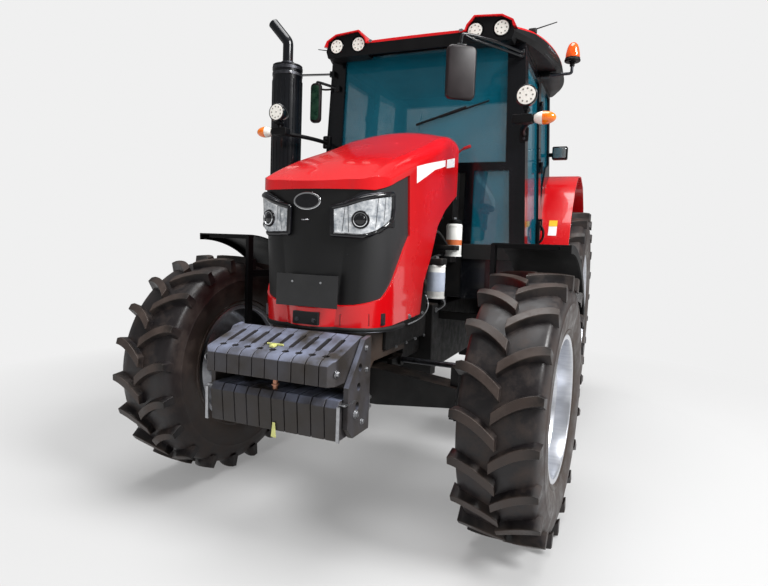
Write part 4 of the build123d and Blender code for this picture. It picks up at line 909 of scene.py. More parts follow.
def lowerSeal():
    # rubber strip hung under the red shell, between its own two thin lips
    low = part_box("bonnet")[0]
    front = []
    for step in range(-9, 10):
        x = step * sealShape["frontStep"]
        spot = frontSpot("bonnet", x, low.z + 0.012)
        if spot is not None:
            front.append(spot)
    sides = {1: [], -1: []}
    for side in (1, -1):
        for step in range(14):
            y = sealShape["sideFrom"] + step * sealShape["sideStep"]
            spot = sideSpot("bonnet", side, y, low.z + 0.012)
            if spot is not None:
                sides[side].append(spot)
    run = sides[-1][::-1] + front + sides[1]
    seal = bmesh.new()
    lips = bmesh.new()
    addTube(seal, [Vector((p.x, p.y + 0.006, low.z - sealShape["below"])) for p in run],
            sealShape["radius"], 6)
    for drop in sealShape["lipDrops"]:
        addTube(lips, [Vector((p.x * 1.002, p.y + 0.001, low.z - drop)) for p in run],
                sealShape["lipRadius"], 4)
    finish("bonnetSeal", seal, "sealRubber", "bonnet_lid")
    finish("bonnetSealLips", lips, "darkSteel", "bonnet_lid")
    bracket = bmesh.new()   # centre bracket under the grille
    spot = frontSpot("bonnet", 0, 1.045)
    addBox(bracket, (-0.068, spot.y - 0.006, 1.018), (0.068, spot.y + 0.01, 1.078))
    finish("centreBracket", bracket, "sealRubber", "bonnet_lid", bevel=0.003)
    bolts = bmesh.new()
    for x in (-0.044, 0.044):
        addBolt(bolts, (x, spot.y - 0.006, 1.04), (0, -1, 0), 0.009)
    finish("bracketBolts", bolts, "darkSteel", "bonnet_lid", bevel=0.0008)
    # thin lines of painted shade along the pressed panel's edge
    recess = bmesh.new()
    corners = []
    for x, z in ((0.155, 1.02), (0.275, 1.024), (0.275, 1.076), (0.155, 1.072)):
        spot = frontSpot("bonnet", x, z)
        if spot is not None:
            corners.append(spot + Vector((0, -0.0005, 0)))
    for a, b in zip(corners, corners[1:] + corners[:1]):
        addRod(recess, a, b, 0.0018, 8)
    finish("pressedPanelEdge", recess, "redShade", "bonnet_lid")
    catch = bmesh.new()
    for side in (1, -1):
        spot = sideSpot("bonnet", side, -1.655, 1.05)
        if spot is not None:
            addBox(catch, (spot.x - 0.006, spot.y - 0.014, 1.022), (spot.x + 0.006, spot.y + 0.014, 1.078))
            loop = ((side * 0.004, 0.03, -0.02), (side * 0.012, 0.045, 0.0), (side * 0.004, 0.034, 0.022))
            addTube(catch, [spot + Vector(p) for p in loop], 0.003)
    finish("bonnetCatches", catch, "darkSteel", "bonnet_lid", bevel=0.002)
    fixings = bmesh.new()
    for side in (1, -1):
        spot = sideSpot("bonnet", side, -1.36, 1.035)
        if spot is not None:
            addRod(fixings, spot, spot + Vector((side * 0.004, 0, 0)), 0.014, 24)
            addBolt(fixings, spot + Vector((side * 0.004, 0, 0)), (side, 0, 0), 0.008, False)
    finish("shellFixings", fixings, "zincPlate", "bonnet_lid", bevel=0.0008)


headlamp = {
    "outline": [(0.118, -1.791, 1.44), (0.114, -1.791, 1.556), (0.18, -1.785, 1.568),
                (0.255, -1.769, 1.59), (0.318, -1.7, 1.614), (0.334, -1.645, 1.626),
                (0.334, -1.64, 1.56), (0.334, -1.65, 1.518), (0.322, -1.69, 1.488),
                (0.3, -1.725, 1.462), (0.245, -1.757, 1.44)],
    "edgeStep": 0.008, "grid": 0.01, "lift": 0.0015, "thick": 0.004,
    "bezel": (0.009, 0.012), "trim": (0.022, 0.0045),   # distance outside the lens, radius
    "projector": (0.24, -1.77, 1.505), "looksAlong": (0.28, -0.96, 0),
    "ribs": [   # x, y, low, high, lean
        (0.158, -1.788, 1.452, 1.566, 0.012), (0.19, -1.785, 1.448, 1.574, -0.008),
        (0.296, -1.73, 1.472, 1.606, 0.01), (0.32, -1.695, 1.492, 1.612, 0.006)],
}


def headlampLenses():
    # lens, bezel and projector of the +X lamp, cast onto the housing on a slant, then mirrored
    slant = Vector((-0.5, 0.866, 0))
    across = Vector((0.866, 0.5, 0))

    def onLamp(a, z, lift=0.0):  # a along the lamp's face; beside the lamp the grille is met
        start = across * a - slant * 3 + Vector((0, 0, z))
        spot, _ = ontoNode("headlamps", start, slant, lift)
        return spot if spot is not None else ontoNode("grille", start, slant, lift)[0]

    def alongLamp(x, y):
        return across.dot(Vector((x, y, 0)))

    plane = [(alongLamp(x, y), z) for x, y, z in headlamp["outline"]]
    flat = bmesh.new()
    points = finely(plane, headlamp["edgeStep"])
    flat.faces.new([flat.verts.new((a, 0, b)) for a, b in points])
    for way, first, last in (((1, 0, 0), min(p[0] for p in points), max(p[0] for p in points)),
                             ((0, 0, 1), min(p[1] for p in points), max(p[1] for p in points))):
        at = first + headlamp["grid"]
        while at < last:
            bmesh.ops.bisect_plane(flat, geom=everything(flat), plane_co=Vector(way) * at, plane_no=way)
            at += headlamp["grid"]
    lens = bmesh.new()
    for v in flat.verts:
        v.co = onLamp(v.co.x, v.co.z, headlamp["lift"])
    top = bmesh.ops.extrude_face_region(flat, geom=flat.faces[:])["geom"]
    bmesh.ops.translate(flat, vec=-slant * headlamp["thick"], verts=vertsIn(top))
    pourInto(lens, flat)
    mirrored(lens)
    # the reflectors' bright and dark fields are painted reflection and painted shade
    finish("headlampReflectors", lens, "lampReflector", "bonnet_lid", angle=50)
    rim, trim = bmesh.new(), bmesh.new()
    middle = Vector((sum(p[0] for p in plane) / len(plane), sum(p[1] for p in plane) / len(plane)))
    for bm, (spread, radius) in ((rim, headlamp["bezel"]), (trim, headlamp["trim"])):
        run = []
        for a, b in points:
            away = (Vector((a, b)) - middle).normalized() * spread
            spot = onLamp(a + away.x, b + away.y)
            if spot is not None:
                run.append(spot)
        if bm is trim:   # it follows only the top of the lamp
            run = run[len(run) * 22 // 100:len(run) * 66 // 100]
        else:
            run += run[:2]
        addTube(bm, run, radius, 8)
    mirrored(rim)
    mirrored(trim)
    finish("headlampBezels", rim, "glossStyrene", "bonnet_lid")
    finish("headlampTrim", trim, "darkSteel", "bonnet_lid")
    outer, ball, glow = bmesh.new(), bmesh.new(), bmesh.new()
    x, y, z = headlamp["projector"]
    centre = onLamp(alongLamp(x, y), z)
    axis = Vector(headlamp["looksAlong"]).normalized()
    addRound(outer, [(-0.004, 0.03), (-0.004, 0.041), (0.006, 0.042), (0.011, 0.039), (0.011, 0.034),
                     (0.006, 0.03)], centre, axis, 40)
    addRound(glow, [(-0.003, 0.026), (-0.003, 0.0325), (0.013, 0.0325), (0.0145, 0.029), (0.011, 0.026)],
             centre, axis, 40)
    addRound(ball, [(-0.002, 0.003), (-0.002, 0.0265), (0.008, 0.0265), (0.013, 0.021), (0.0165, 0.012),
                    (0.0175, 0.003)], centre, axis, 40)
    addRod(ball, centre, centre + axis * 0.0173, 0.004, 12)
    ribs = bmesh.new()
    for x, y, z0, z1, turn in headlamp["ribs"]:
        low = onLamp(alongLamp(x, y), z0, 0.004)
        high = onLamp(alongLamp(x + turn, y), z1, 0.004)
        if low is not None and high is not None:
            addRod(ribs, low, high, 0.0022, 8)
    for bm, name, material in ((outer, "projectorRings", "glossStyrene"),
                               (glow, "projectorCollars", "chrome"),
                               (ball, "projectorLenses", "glossStyrene"),
                               (ribs, "reflectorSteps", "darkSteel")):
        mirrored(bm)
        finish(name, bm, material, "bonnet_lid", angle=50)


bonnetTrim()
frontFace()
lowerSeal()
headlampLenses()
print("bonnet and grille detailed")


def roundedBlock(bm, centre, size, corner, soft, thin=1, turn=0.0):
    # a box with wide corners seen along its thin axis, and all its edges softened
    one = bmesh.new()
    bmesh.ops.create_cube(one, size=1.0)
    bmesh.ops.scale(one, vec=size, verts=one.verts[:])
    tall = [e for e in one.edges if abs((e.verts[0].co - e.verts[1].co).normalized()[thin]) > 0.9]
    bmesh.ops.bevel(one, geom=tall, offset=corner, segments=5, profile=0.5, affect="EDGES", material=-1)
    rims = [e for e in one.edges if abs((e.verts[0].co - e.verts[1].co).normalized()[thin]) < 0.1]
    if soft:
        bmesh.ops.bevel(one, geom=rims, offset=soft, segments=3, profile=0.5, affect="EDGES", material=-1)
    bmesh.ops.transform(one, matrix=Matrix.Translation(centre) @ Matrix.Rotation(turn, 4, "Z"),
                        verts=one.verts[:])
    pourInto(bm, one)


def addLed(shell, face, dots, centre, radius, deep, count):  # a round lamp that looks forward
    c = Vector(centre)
    addRound(shell, [(0, 0.5 * radius), (0, radius * 0.94), (0.004, radius), (0.02, radius),
                     (deep * 0.55, radius * 0.82), (deep, radius * 0.45), (deep, 0.004), (0.012, 0.004),
                     (0.012, 0.5 * radius)], c, (0, 1, 0), 40)
    addRound(face, [(-0.001, 0.003), (-0.001, radius * 0.84), (0.003, radius * 0.89), (0.011, radius * 0.89),
                    (0.011, 0.003)], c, (0, 1, 0), 40)
    addRod(face, c + Vector((0, 0.011, 0)), c - Vector((0, 0.001, 0)), 0.004, 12)
    for number, share in ((count, 0.6), (1, 0.0)):   # a circle of diodes and one in the middle
        for i in range(number):
            a = math.tau * i / number
            spot = c + Vector((math.cos(a), 0, math.sin(a))) * radius * share
            addRod(dots, spot, spot - Vector((0, 0.0025, 0)), radius * 0.085, 10)


roofLamp = {"across": (-0.563, -0.399, 0.399, 0.563), "high": 2.734, "radius": 0.0515, "deep": 0.028,
            "diodes": 8}


def roofLamps():
    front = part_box("roof_lamps")[0].y - 0.004
    shell, face, dots = bmesh.new(), bmesh.new(), bmesh.new()
    for x in roofLamp["across"]:
        addLed(shell, face, dots, (x, front, roofLamp["high"]), roofLamp["radius"], roofLamp["deep"],
               roofLamp["diodes"])
    finish("roofLampRims", shell, "glossStyrene", "chassis", ("roof_lamps",), bevel=0.001)
    finish("roofLampFaces", face, "lampWhite", "chassis", bevel=0.001)
    finish("roofLampDiodes", dots, "lampDiode", "chassis")


sideLamp = {"lamp": (0.795, -0.924, 2.228), "radius": 0.058, "deep": 0.11, "diodes": 9,
            "pillarX": 0.709, "armRadius": 0.014, "signal": (0.893, -0.896, 2.109),
            "signalHalf": (0.062, 0.037, 0.035)}


def sideLamps():   # work lamp and turn signal on one arm, made on the left and mirrored
    face, dots, shell, arm = (bmesh.new() for _ in range(4))
    x, root = sideLamp["lamp"][0], sideLamp["pillarX"]
    addLed(shell, face, dots, sideLamp["lamp"], sideLamp["radius"], sideLamp["deep"], sideLamp["diodes"])
    addTube(arm, [(root, -0.396, 2.12), (root, -0.64, 2.12), (0.853, -0.9, 2.11)],
            sideLamp["armRadius"], 8)
    roundedBlock(arm, (0.708, -0.4, 2.125), (0.054, 0.02, 0.09), 0.01, 0.003)
    roundedBlock(arm, (0.778, -0.89, 2.108), (0.11, 0.058, 0.046), 0.01, 0.003)
    addRod(arm, (x, -0.88, 2.1), (x, -0.88, 2.19), 0.012, 16)
    addRod(arm, (x, -0.85, 2.165), (x, -0.915, 2.165), 0.016, 16)
    amber, clear = bmesh.new(), bmesh.new()
    centre = Vector(sideLamp["signal"])
    for piece, side in ((amber, 1), (clear, -1)):   # the signal's outer and inner part
        ball = bmesh.ops.create_uvsphere(piece, u_segments=32, v_segments=20, radius=1.0)["verts"]
        bmesh.ops.scale(piece, vec=sideLamp["signalHalf"], verts=ball)
        bmesh.ops.bisect_plane(piece, geom=everything(piece), plane_co=(-0.008, 0, 0),
                               plane_no=(-side, 0, 0), clear_outer=True)
        edge = [e for e in piece.edges if len(e.link_faces) == 1]
        bmesh.ops.holes_fill(piece, edges=edge, sides=0)
        bmesh.ops.translate(piece, vec=centre, verts=piece.verts[:])
    addRound(arm, [(-0.004, 0.004), (-0.004, 0.025), (0.004, 0.025), (0.004, 0.004)],
             centre + Vector((-0.056, 0.004, 0)), (1, 0, 0), 28)
    bolts = bmesh.new()
    for z in (2.098, 2.152):
        addBolt(bolts, (root, -0.41, z), (0, -1, 0), 0.007)
    for bm, name, material in ((shell, "workLampShells", "glossStyrene"),
                               (face, "workLampFaces", "lampWhite"),
                               (dots, "workLampDiodes", "lampDiode"),
                               (amber, "turnSignalAmber", "amberAcrylic"),
                               (clear, "turnSignalClear", "lampWhite"),
                               (bolts, "lampArmBolts", "darkSteel")):
        mirrored(bm)
        finish(name, bm, material, "chassis", bevel=0.0008, segments=1)
    mirrored(arm)
    finish("sideLampArms", arm, "blackPolypropylene", "chassis", ("side_lamps",),
           bevel=0.002)


mirrorPlan = {"left": (0.39, -0.8, 2.412), "leftSize": (0.18, 0.036, 0.308),
              "leftGlass": (0.156, 0.006, 0.28), "leftTurn": math.atan2(0.57, 0.82),
              "rightY": -0.456, "rightHigh": 2.395, "rightSize": (0.083, 0.036, 0.28),
              "rightGlass": (0.068, 0.006, 0.258), "rightPanel": (0.062, 0.004, 0.245)}


def mirrorPair():
    shell, glass, arm = bmesh.new(), bmesh.new(), bmesh.new()
    centre, turn = Vector(mirrorPlan["left"]), mirrorPlan["leftTurn"]
    behind = Vector((-math.sin(turn), math.cos(turn), 0))
    roundedBlock(shell, centre, mirrorPlan["leftSize"], 0.034, 0.012, 1, turn)
    roundedBlock(glass, centre + behind * 0.0165, mirrorPlan["leftGlass"], 0.026, 0.0, 1, turn)
    addTube(arm, [(0.668, -0.404, 2.625), (0.56, -0.6, 2.634), (0.4, -0.786, 2.64),
                  (0.383, -0.8, 2.62), (0.383, -0.8, 2.54)], 0.01, 8)
    addTube(arm, [(0.668, -0.404, 2.602), (0.56, -0.596, 2.604), (0.43, -0.756, 2.612),
                  (0.4, -0.785, 2.63)], 0.008, 8)
    roundedBlock(arm, (0.663, -0.405, 2.6215), (0.036, 0.029, 0.045), 0.006, 0.003)
    roundedBlock(arm, (0.386, -0.8, 2.56), (0.06, 0.026, 0.03), 0.006, 0.004, 1, turn)
    x, y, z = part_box("mirrors")[0].x + 0.052, mirrorPlan["rightY"], mirrorPlan["rightHigh"]
    panel = bmesh.new()
    roundedBlock(shell, (x, y, z), mirrorPlan["rightSize"], 0.03, 0.012)
    roundedBlock(glass, (x, y + 0.0165, z), mirrorPlan["rightGlass"], 0.024, 0.0)
    roundedBlock(panel, (x, y - 0.0185, z), mirrorPlan["rightPanel"], 0.024, 0.0)
    addTube(arm, [(x + 0.142, -0.404, 2.5), (x + 0.014, y, 2.545), (x, y, 2.535), (x, y, 2.45)], 0.01, 8)
    addTube(arm, [(x + 0.1, -0.404, 2.5), (x + 0.06, y + 0.008, 2.48), (x + 0.01, y, 2.5)], 0.007, 8)
    roundedBlock(arm, (x + 0.142, -0.403, 2.5), (0.044, 0.0255, 0.04), 0.006, 0.003)
    finish("mirrorShells", shell, "mirrorShell", "chassis", ("mirrors",))
    finish("mirrorGlass", glass, "mirrorGlass", "chassis", bevel=0.001)
    finish("mirrorShellPanel", panel, "greenGloss", "chassis", bevel=0.001)
    finish("mirrorArms", arm, "blackEnamel", "chassis", bevel=0.001)


beaconPlan = {"foot": (0.906, 0.262, 2.752), "tubeHigh": 2.673, "tubeFrom": 0.74, "tubeRadius": 0.0105}


def beaconLamp():
    inner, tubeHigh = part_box("beacon")[0].x, beaconPlan["tubeHigh"]
    x, y, z = beaconPlan["foot"]
    dome, base, tube, core = (bmesh.new() for _ in range(4))
    addRound(dome, [(0.026, 0.003), (0.026, 0.049), (0.034, 0.0495), (0.06, 0.0475), (0.095, 0.04),
                    (0.118, 0.031), (0.131, 0.019), (0.1365, 0.003)], (x, y, z), (0, 0, 1), 40)
    addRod(dome, (x, y, z + 0.026), (x, y, z + 0.1362), 0.004, 12)
    addRod(core, (x, y, z + 0.024), (x, y, z + 0.085), 0.02, 24)
    addRound(base, [(0.0, 0.01), (0.0, 0.05), (0.004, 0.055), (0.014, 0.0555), (0.018, 0.052),
                    (0.027, 0.052), (0.027, 0.01)], (x, y, z), (0, 0, 1), 40)
    addRod(base, (x, y, z - 0.03), (x, y, z + 0.002), 0.017, 24)
    addRod(base, (x, y, z - 0.006), (x, y, z + 0.001), 0.026, 24)
    roundedBlock(base, (inner + 0.0365, y, tubeHigh), (0.073, 0.06, 0.032), 0.008, 0.003, 2)
    addTube(tube, [(beaconPlan["tubeFrom"], y, tubeHigh), (0.86, y, tubeHigh), (0.905, y, tubeHigh),
                   (x, y, 2.7), (x, y, 2.735)], beaconPlan["tubeRadius"], 10)
    addRod(tube, (0.755, y, tubeHigh), (0.8, y, tubeHigh), 0.0145)
    finish("beaconDome", dome, "amberGlass", "chassis", angle=60)
    finish("beaconCore", core, "orangeLabel", "chassis", bevel=0.003)
    finish("beaconBase", base, "blackPolypropylene", "chassis", ("beacon",), bevel=0.0012)
    finish("beaconTube", tube, "darkSteel", "chassis")


rearLamp = {"inset": 0.06, "y": 0.823, "z": 2.2025, "size": (0.12, 0.054, 0.105),
            "frontLens": (0.098, 0.005, 0.082), "rearLens": (0.104, 0.006, 0.054)}


def rearLampFronts():
    box, lens, clear = bmesh.new(), bmesh.new(), bmesh.new()
    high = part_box("rear_lamps")[1]
    x, y, z = high.x - rearLamp["inset"], rearLamp["y"], rearLamp["z"]
    roundedBlock(box, (x, y, z), rearLamp["size"], 0.012, 0.004)
    roundedBlock(box, (high.x - 0.115, 0.852, 2.195), (0.07, 0.028, 0.03), 0.004, 0.002)
    roundedBlock(clear, (x, 0.7955, z), rearLamp["frontLens"], 0.01, 0.0)
    roundedBlock(lens, (x, 0.8515, 2.22), rearLamp["rearLens"], 0.008, 0.0)
    for bm in (box, lens, clear):
        mirrored(bm)
    finish("rearLampShells", box, "blackPolypropylene", "chassis", ("rear_lamps",))
    finish("rearLampLenses", lens, "redAcrylic", "chassis", bevel=0.001)
    finish("rearWorkLenses", clear, "brightReflector", "chassis", bevel=0.001)


wiperPlan = {"from": (0.145, -0.388, 2.262), "to": (0.47, -0.388, 2.35), "blade": 0.006, "arm": 0.008}
aerialPlan = {"foot": (0.705, -0.285), "reach": (0.15, -0.02, 0.045), "radius": 0.0045, "tip": 0.003}


def screenFittings():
    wiper = bmesh.new()
    start, end = Vector(wiperPlan["from"]), Vector(wiperPlan["to"])
    addRod(wiper, start, end, wiperPlan["blade"], 10)
    addRod(wiper, start + Vector((-0.17, 0.0, -0.042)),
           start + (end - start) * 0.55 + Vector((0, -0.012, 0.006)), wiperPlan["arm"], 10)
    finish("wiperBlade", wiper, "sealRubber", "chassis")
    aerial = bmesh.new()
    reach = aerialPlan["reach"]
    for side in (1, -1):
        foot, _ = ontoNode("roof", (side * aerialPlan["foot"][0], aerialPlan["foot"][1], 4), (0, 0, -1))
        if foot is not None:
            roundedBlock(aerial, foot + Vector((0, 0, 0.012)), (0.05, 0.04, 0.03), 0.01, 0.004, 2)
            addRod(aerial, foot + Vector((0, 0, 0.02)), foot + Vector((side * reach[0], reach[1], reach[2])),
                   aerialPlan["radius"], 10, aerialPlan["tip"])
    finish("roofAerials", aerial, "sealRubber", "chassis")
    clips = bmesh.new()
    for x in (-0.31, 0.31):
        spot = frontSpot("roof", x, 2.742, -2)
        if spot is not None:
            roundedBlock(clips, spot + Vector((0, -0.002, 0.004)), (0.022, 0.01, 0.016), 0.004, 0.0)
    finish("visorClips", clips, "zincPlate", "chassis", bevel=0.001)


doorGrip = {"y": 0.215, "z": 1.52, "half": 0.07, "radius": 0.009, "plate": (0.014, 0.04, 0.19)}


def doorFittings():
    y, z, half = (doorGrip[k] for k in ("y", "z", "half"))
    for side, tail in sideNames.items():
        grip = bmesh.new()
        pane = sideSpot("door_" + tail, side, y, z, 1.5)
        if pane is None:
            pane = Vector((side * 0.745, y, z))
        out = side * 0.001
        addTube(grip, [pane + Vector((out, 0, half)), pane + Vector((side * 0.038, 0, 0.05)),
                       pane + Vector((side * 0.04, 0, -0.05)), pane + Vector((out, 0, -half))],
                doorGrip["radius"], 8)
        roundedBlock(grip, pane + Vector((side * 0.006, 0, 0)), doorGrip["plate"], 0.012, 0.0, 0)
        finish("doorHandle" + tail.capitalize(), grip, "blackPolypropylene", "door_" + tail,
               bevel=0.001)


roofVent = {"slats": 6, "from": -0.09, "pitch": 0.03, "slant": 0.02, "low": 2.7, "high": 2.765,
            "radius": 0.0045, "frame": [(-0.115, 2.698), (0.105, 2.698), (0.13, 2.768), (-0.095, 2.768)]}


def roofVents():
    slats, frames = bmesh.new(), bmesh.new()
    radius = roofVent["radius"]
    for side in (1, -1):
        for i in range(roofVent["slats"]):
            y = roofVent["from"] + i * roofVent["pitch"]
            low = sideSpot("roof_trim", side, y, roofVent["low"], 1.4)
            high = sideSpot("roof_trim", side, y + roofVent["slant"], roofVent["high"], 1.4)
            if low is not None and high is not None:
                addRod(slats, low, high, radius, 8)
        corners = [sideSpot("roof_trim", side, y, z, 1.4) for y, z in roofVent["frame"]]
        if all(corner is not None for corner in corners):
            for a, b in zip(corners, corners[1:] + corners[:1]):
                addRod(frames, a, b, radius, 8)
    finish("roofVentSlats", slats, "darkSteel", "chassis")
    finish("roofVentFrames", frames, "sealRubber", "chassis")


roofLamps()
sideLamps()
mirrorPair()
beaconLamp()
rearLampFronts()
screenFittings()
doorFittings()
roofVents()
print("cab fittings made")


def addPad(bm, half, radius, crown, channels, spot, turn, pull):
    # a stuffed pad: crowned top, sides drawn in between the corners, sewn channels across it
    one = bmesh.new()
    bmesh.ops.create_cube(one, size=2.0)
    bmesh.ops.subdivide_edges(one, edges=one.edges[:], cuts=23, use_grid_fill=True)
    for v in one.verts:
        u, w, t = v.co
        full = [u * half[0], w * half[1], t * half[2]]
        inner = Vector([max(-h + radius, min(h - radius, c)) for c, h in zip(full, half)])
        away = Vector(full) - inner
        spotted = inner + (away.normalized() * radius if away.length > 1e-7 else away)
        swell = max(0.0, 1 - u * u) * max(0.0, 1 - w * w)
        spotted.x -= math.copysign(pull * (1 - w * w) * abs(u) ** 5, u)
        spotted.y -= math.copysign(pull * (1 - u * u) * abs(w) ** 5, w)
        if t > 0:
            lift = crown * swell
            for kind, at in channels:
                near = (u if kind == "long" else w) - at
                lift -= 0.007 * math.exp(-(near / 0.045) ** 2) * (1 - (w if kind == "long" else u) ** 8)
            spotted.z += lift * t
        v.co = spotted
    bmesh.ops.transform(one, matrix=Matrix.Translation(spot) @ Matrix.Rotation(math.radians(turn), 4, "X"),
                        verts=one.verts[:])
    pourInto(bm, one)


def addPiping(bm, half, radius, high, spot, turn):  # the welt sewn round the top of a pad
    run = []
    for corner, (sx, sy) in enumerate(((1, 1), (-1, 1), (-1, -1), (1, -1))):
        for step in range(5):
            a = math.pi / 2 * (corner + step / 4)
            run.append(Vector((sx * (half[0] - radius) + radius * math.cos(a),
                               sy * (half[1] - radius) + radius * math.sin(a), high)))
    move = Matrix.Translation(spot) @ Matrix.Rotation(math.radians(turn), 4, "X")
    addTube(bm, [move @ p for p in run + run[:2]], 0.0035, 6)


pads = [
    # name, half sizes, edge radius, crown, channels, place, lean in degrees
    ("seatCushion", (0.246, 0.222, 0.056), 0.034, 0.02,
     (("long", -0.52), ("long", 0.52), ("wide", 0.05)), (0, 0.475, 1.528), -3.5),
    ("seatBackrest", (0.232, 0.258, 0.048), 0.034, 0.022,
     (("long", -0.52), ("long", 0.52), ("wide", -0.3), ("wide", 0.42)), (0, 0.672, 1.83), 76),
    ("armPadLeft", (0.034, 0.148, 0.026), 0.022, 0.004, (), (0.285, 0.53, 1.73), 0),
    ("armPadRight", (0.034, 0.148, 0.026), 0.022, 0.004, (), (-0.285, 0.53, 1.73), 0),
]


def seatPiece():
    welts = bmesh.new()
    for name, half, radius, crown, channels, spot, lean in pads:
        bm = bmesh.new()
        large = half[0] > 0.1
        addPad(bm, half, radius, crown, channels, spot, lean, 0.01 if large else 0.001)
        stood = ("seat",) if name == "seatCushion" else ()
        pad = finish(name, bm, "seatCloth", "chassis", stood, angle=60)
        if large:
            addPiping(welts, (half[0] - 0.004, half[1] - 0.004), 0.04, half[2] - 0.014, spot, lean)
    finish("seatWelts", welts, "sealRubber", "chassis")
    frameBits = bmesh.new()
    roundedBlock(frameBits, (0, 0.485, 1.4305), (0.34, 0.31, 0.06), 0.03, 0.006, 2)
    for z in (1.412, 1.428, 1.444):   # folds of the suspension cover
        roundedBlock(frameBits, (0, 0.485, z), (0.356, 0.326, 0.008), 0.032, 0.003, 2)
    for side in (-1, 1):
        roundedBlock(frameBits, (side * 0.252, 0.62, 1.63), (0.03, 0.056, 0.15), 0.01, 0.004, 0)
        roundedBlock(frameBits, (side * 0.262, 0.56, 1.69), (0.05, 0.12, 0.024), 0.008, 0.003, 2)
        roundedBlock(frameBits, (side * 0.15, 0.48, 1.466), (0.03, 0.3, 0.024), 0.006, 0.003, 2)
    finish("seatFrame", frameBits, "cabinPlastic", "chassis")


controlPlan = {"hub": (0, -0.02, 1.9), "tilt": (0, 180, 140), "dials": (-0.105, 0.0, 0.105),
               "pedals": (-0.16, 0.14, 0.24), "leversFrom": 1.7}
levers = [
    # x, y, lean forward, height, red knob
    (-0.36, 0.16, 0.03, 0.15, False),
    (-0.42, 0.16, 0.02, 0.13, False),
    (-0.48, 0.14, 0.0, 0.14, True),
    (-0.38, 0.26, 0.04, 0.11, True),
]


def controls():
    tilt = Vector(controlPlan["tilt"]).normalized()
    hub = Vector(controlPlan["hub"])
    soft = bmesh.new()
    addRound(soft, [(0.019, 0.004), (0.024, 0.004), (0.031, 0.026), (0.028, 0.041), (0.019, 0.044)],
             hub, tilt, 36)
    addRod(soft, hub + tilt * 0.019, hub + tilt * 0.0235, 0.006, 12)
    for side in (-1, 1):   # stalks behind the wheel
        start = hub - tilt * 0.05
        addRod(soft, start + Vector((side * 0.02, 0, 0)), start + Vector((side * 0.15, 0.01, 0.03)),
               0.005, 10)
        addRod(soft, start + Vector((side * 0.125, 0.008, 0.0245)),
               start + Vector((side * 0.165, 0.011, 0.033)), 0.009, 12)
    finish("wheelHubCap", soft, "blackPolypropylene", "chassis", bevel=0.001)
    dials = bmesh.new()
    for x in controlPlan["dials"]:
        spot, normal = ontoNode("steering_column", (x, 0.4, 1.8), (0, -1, 0.0))
        if spot is not None:
            addRound(dials, [(0.0005, 0.034), (0.0005, 0.042), (0.006, 0.041), (0.006, 0.034)],
                     spot, normal, 32)
    finish("dialRings", dials, "darkSteel", "chassis", bevel=0.001)
    knobs, rods = bmesh.new(), bmesh.new()
    red = bmesh.new()
    base = controlPlan["leversFrom"]
    for x, y, lean, tall, isRed in levers:
        top = Vector((x, y - lean, base + tall))
        addRod(rods, (x, y, base), top, 0.006, 12)
        roundedBlock(red if isRed else knobs, top, (0.034, 0.04, 0.05), 0.01, 0.006, 2)
        addRound(rods, [(0, 0.008), (0, 0.024), (0.006, 0.022), (0.016, 0.012), (0.018, 0.008)],
                 (x, y, base), (0, 0, 1), 24)
    finish("leverRods", rods, "darkSteel", "chassis")
    finish("leverKnobs", knobs, "cabinPlastic", "chassis")
    finish("redKnobs", red, "redAcrylic", "chassis", bevel=0.002)
    pedals = bmesh.new()
    for x in controlPlan["pedals"]:
        roundedBlock(pedals, (x, -0.17, 1.215), (0.06, 0.018, 0.08), 0.008, 0.003, 1)
        addTube(pedals, [(x, -0.175, 1.215), (x, -0.215, 1.17), (x, -0.24, 1.11)], 0.008, 6)
    finish("pedals", pedals, "sealRubber", "chassis")


floorMat = {"low": (-0.3, -0.14, 1.0845), "high": (0.62, 0.1, 1.0885), "ribs": 12, "from": -0.13,
            "pitch": 0.02}


def lining():
    mat = bmesh.new()
    addBox(mat, floorMat["low"], floorMat["high"])
    for i in range(floorMat["ribs"]):
        y = floorMat["from"] + i * floorMat["pitch"]
        addBox(mat, (-0.29, y, 1.0885), (0.61, y + 0.008, 1.0915))
    finish("floorMat", mat, "sealRubber", "chassis", bevel=0.001, segments=1)
    lip = bmesh.new()   # pale edges of the rear screen's seal, seen through the windscreen
    for x0, z0, x1, z1 in ((-0.5, 2.1, -0.435, 2.6), (0.5, 2.1, 0.435, 2.6)):
        addRod(lip, (x0, 0.862, z0), (x1, 0.862, z1), 0.0035, 8)
    addRod(lip, (-0.5, 0.862, 2.1), (0.5, 0.862, 2.1), 0.0035, 8)
    finish("rearSealLips", lip, "whiteFilm", "chassis")


seatPiece()
controls()
lining()
print("cabin made")


filterPlan = [
    {"x": 0.33, "y": -0.902, "low": 1.1, "high": 1.3, "radius": 0.052, "bandTall": 0.56, "bandAt": 0.47},
    {"x": 0.345, "y": -0.618, "low": 1.345, "high": 1.545, "radius": 0.05, "bandTall": 0.16, "bandAt": 0.42},
]


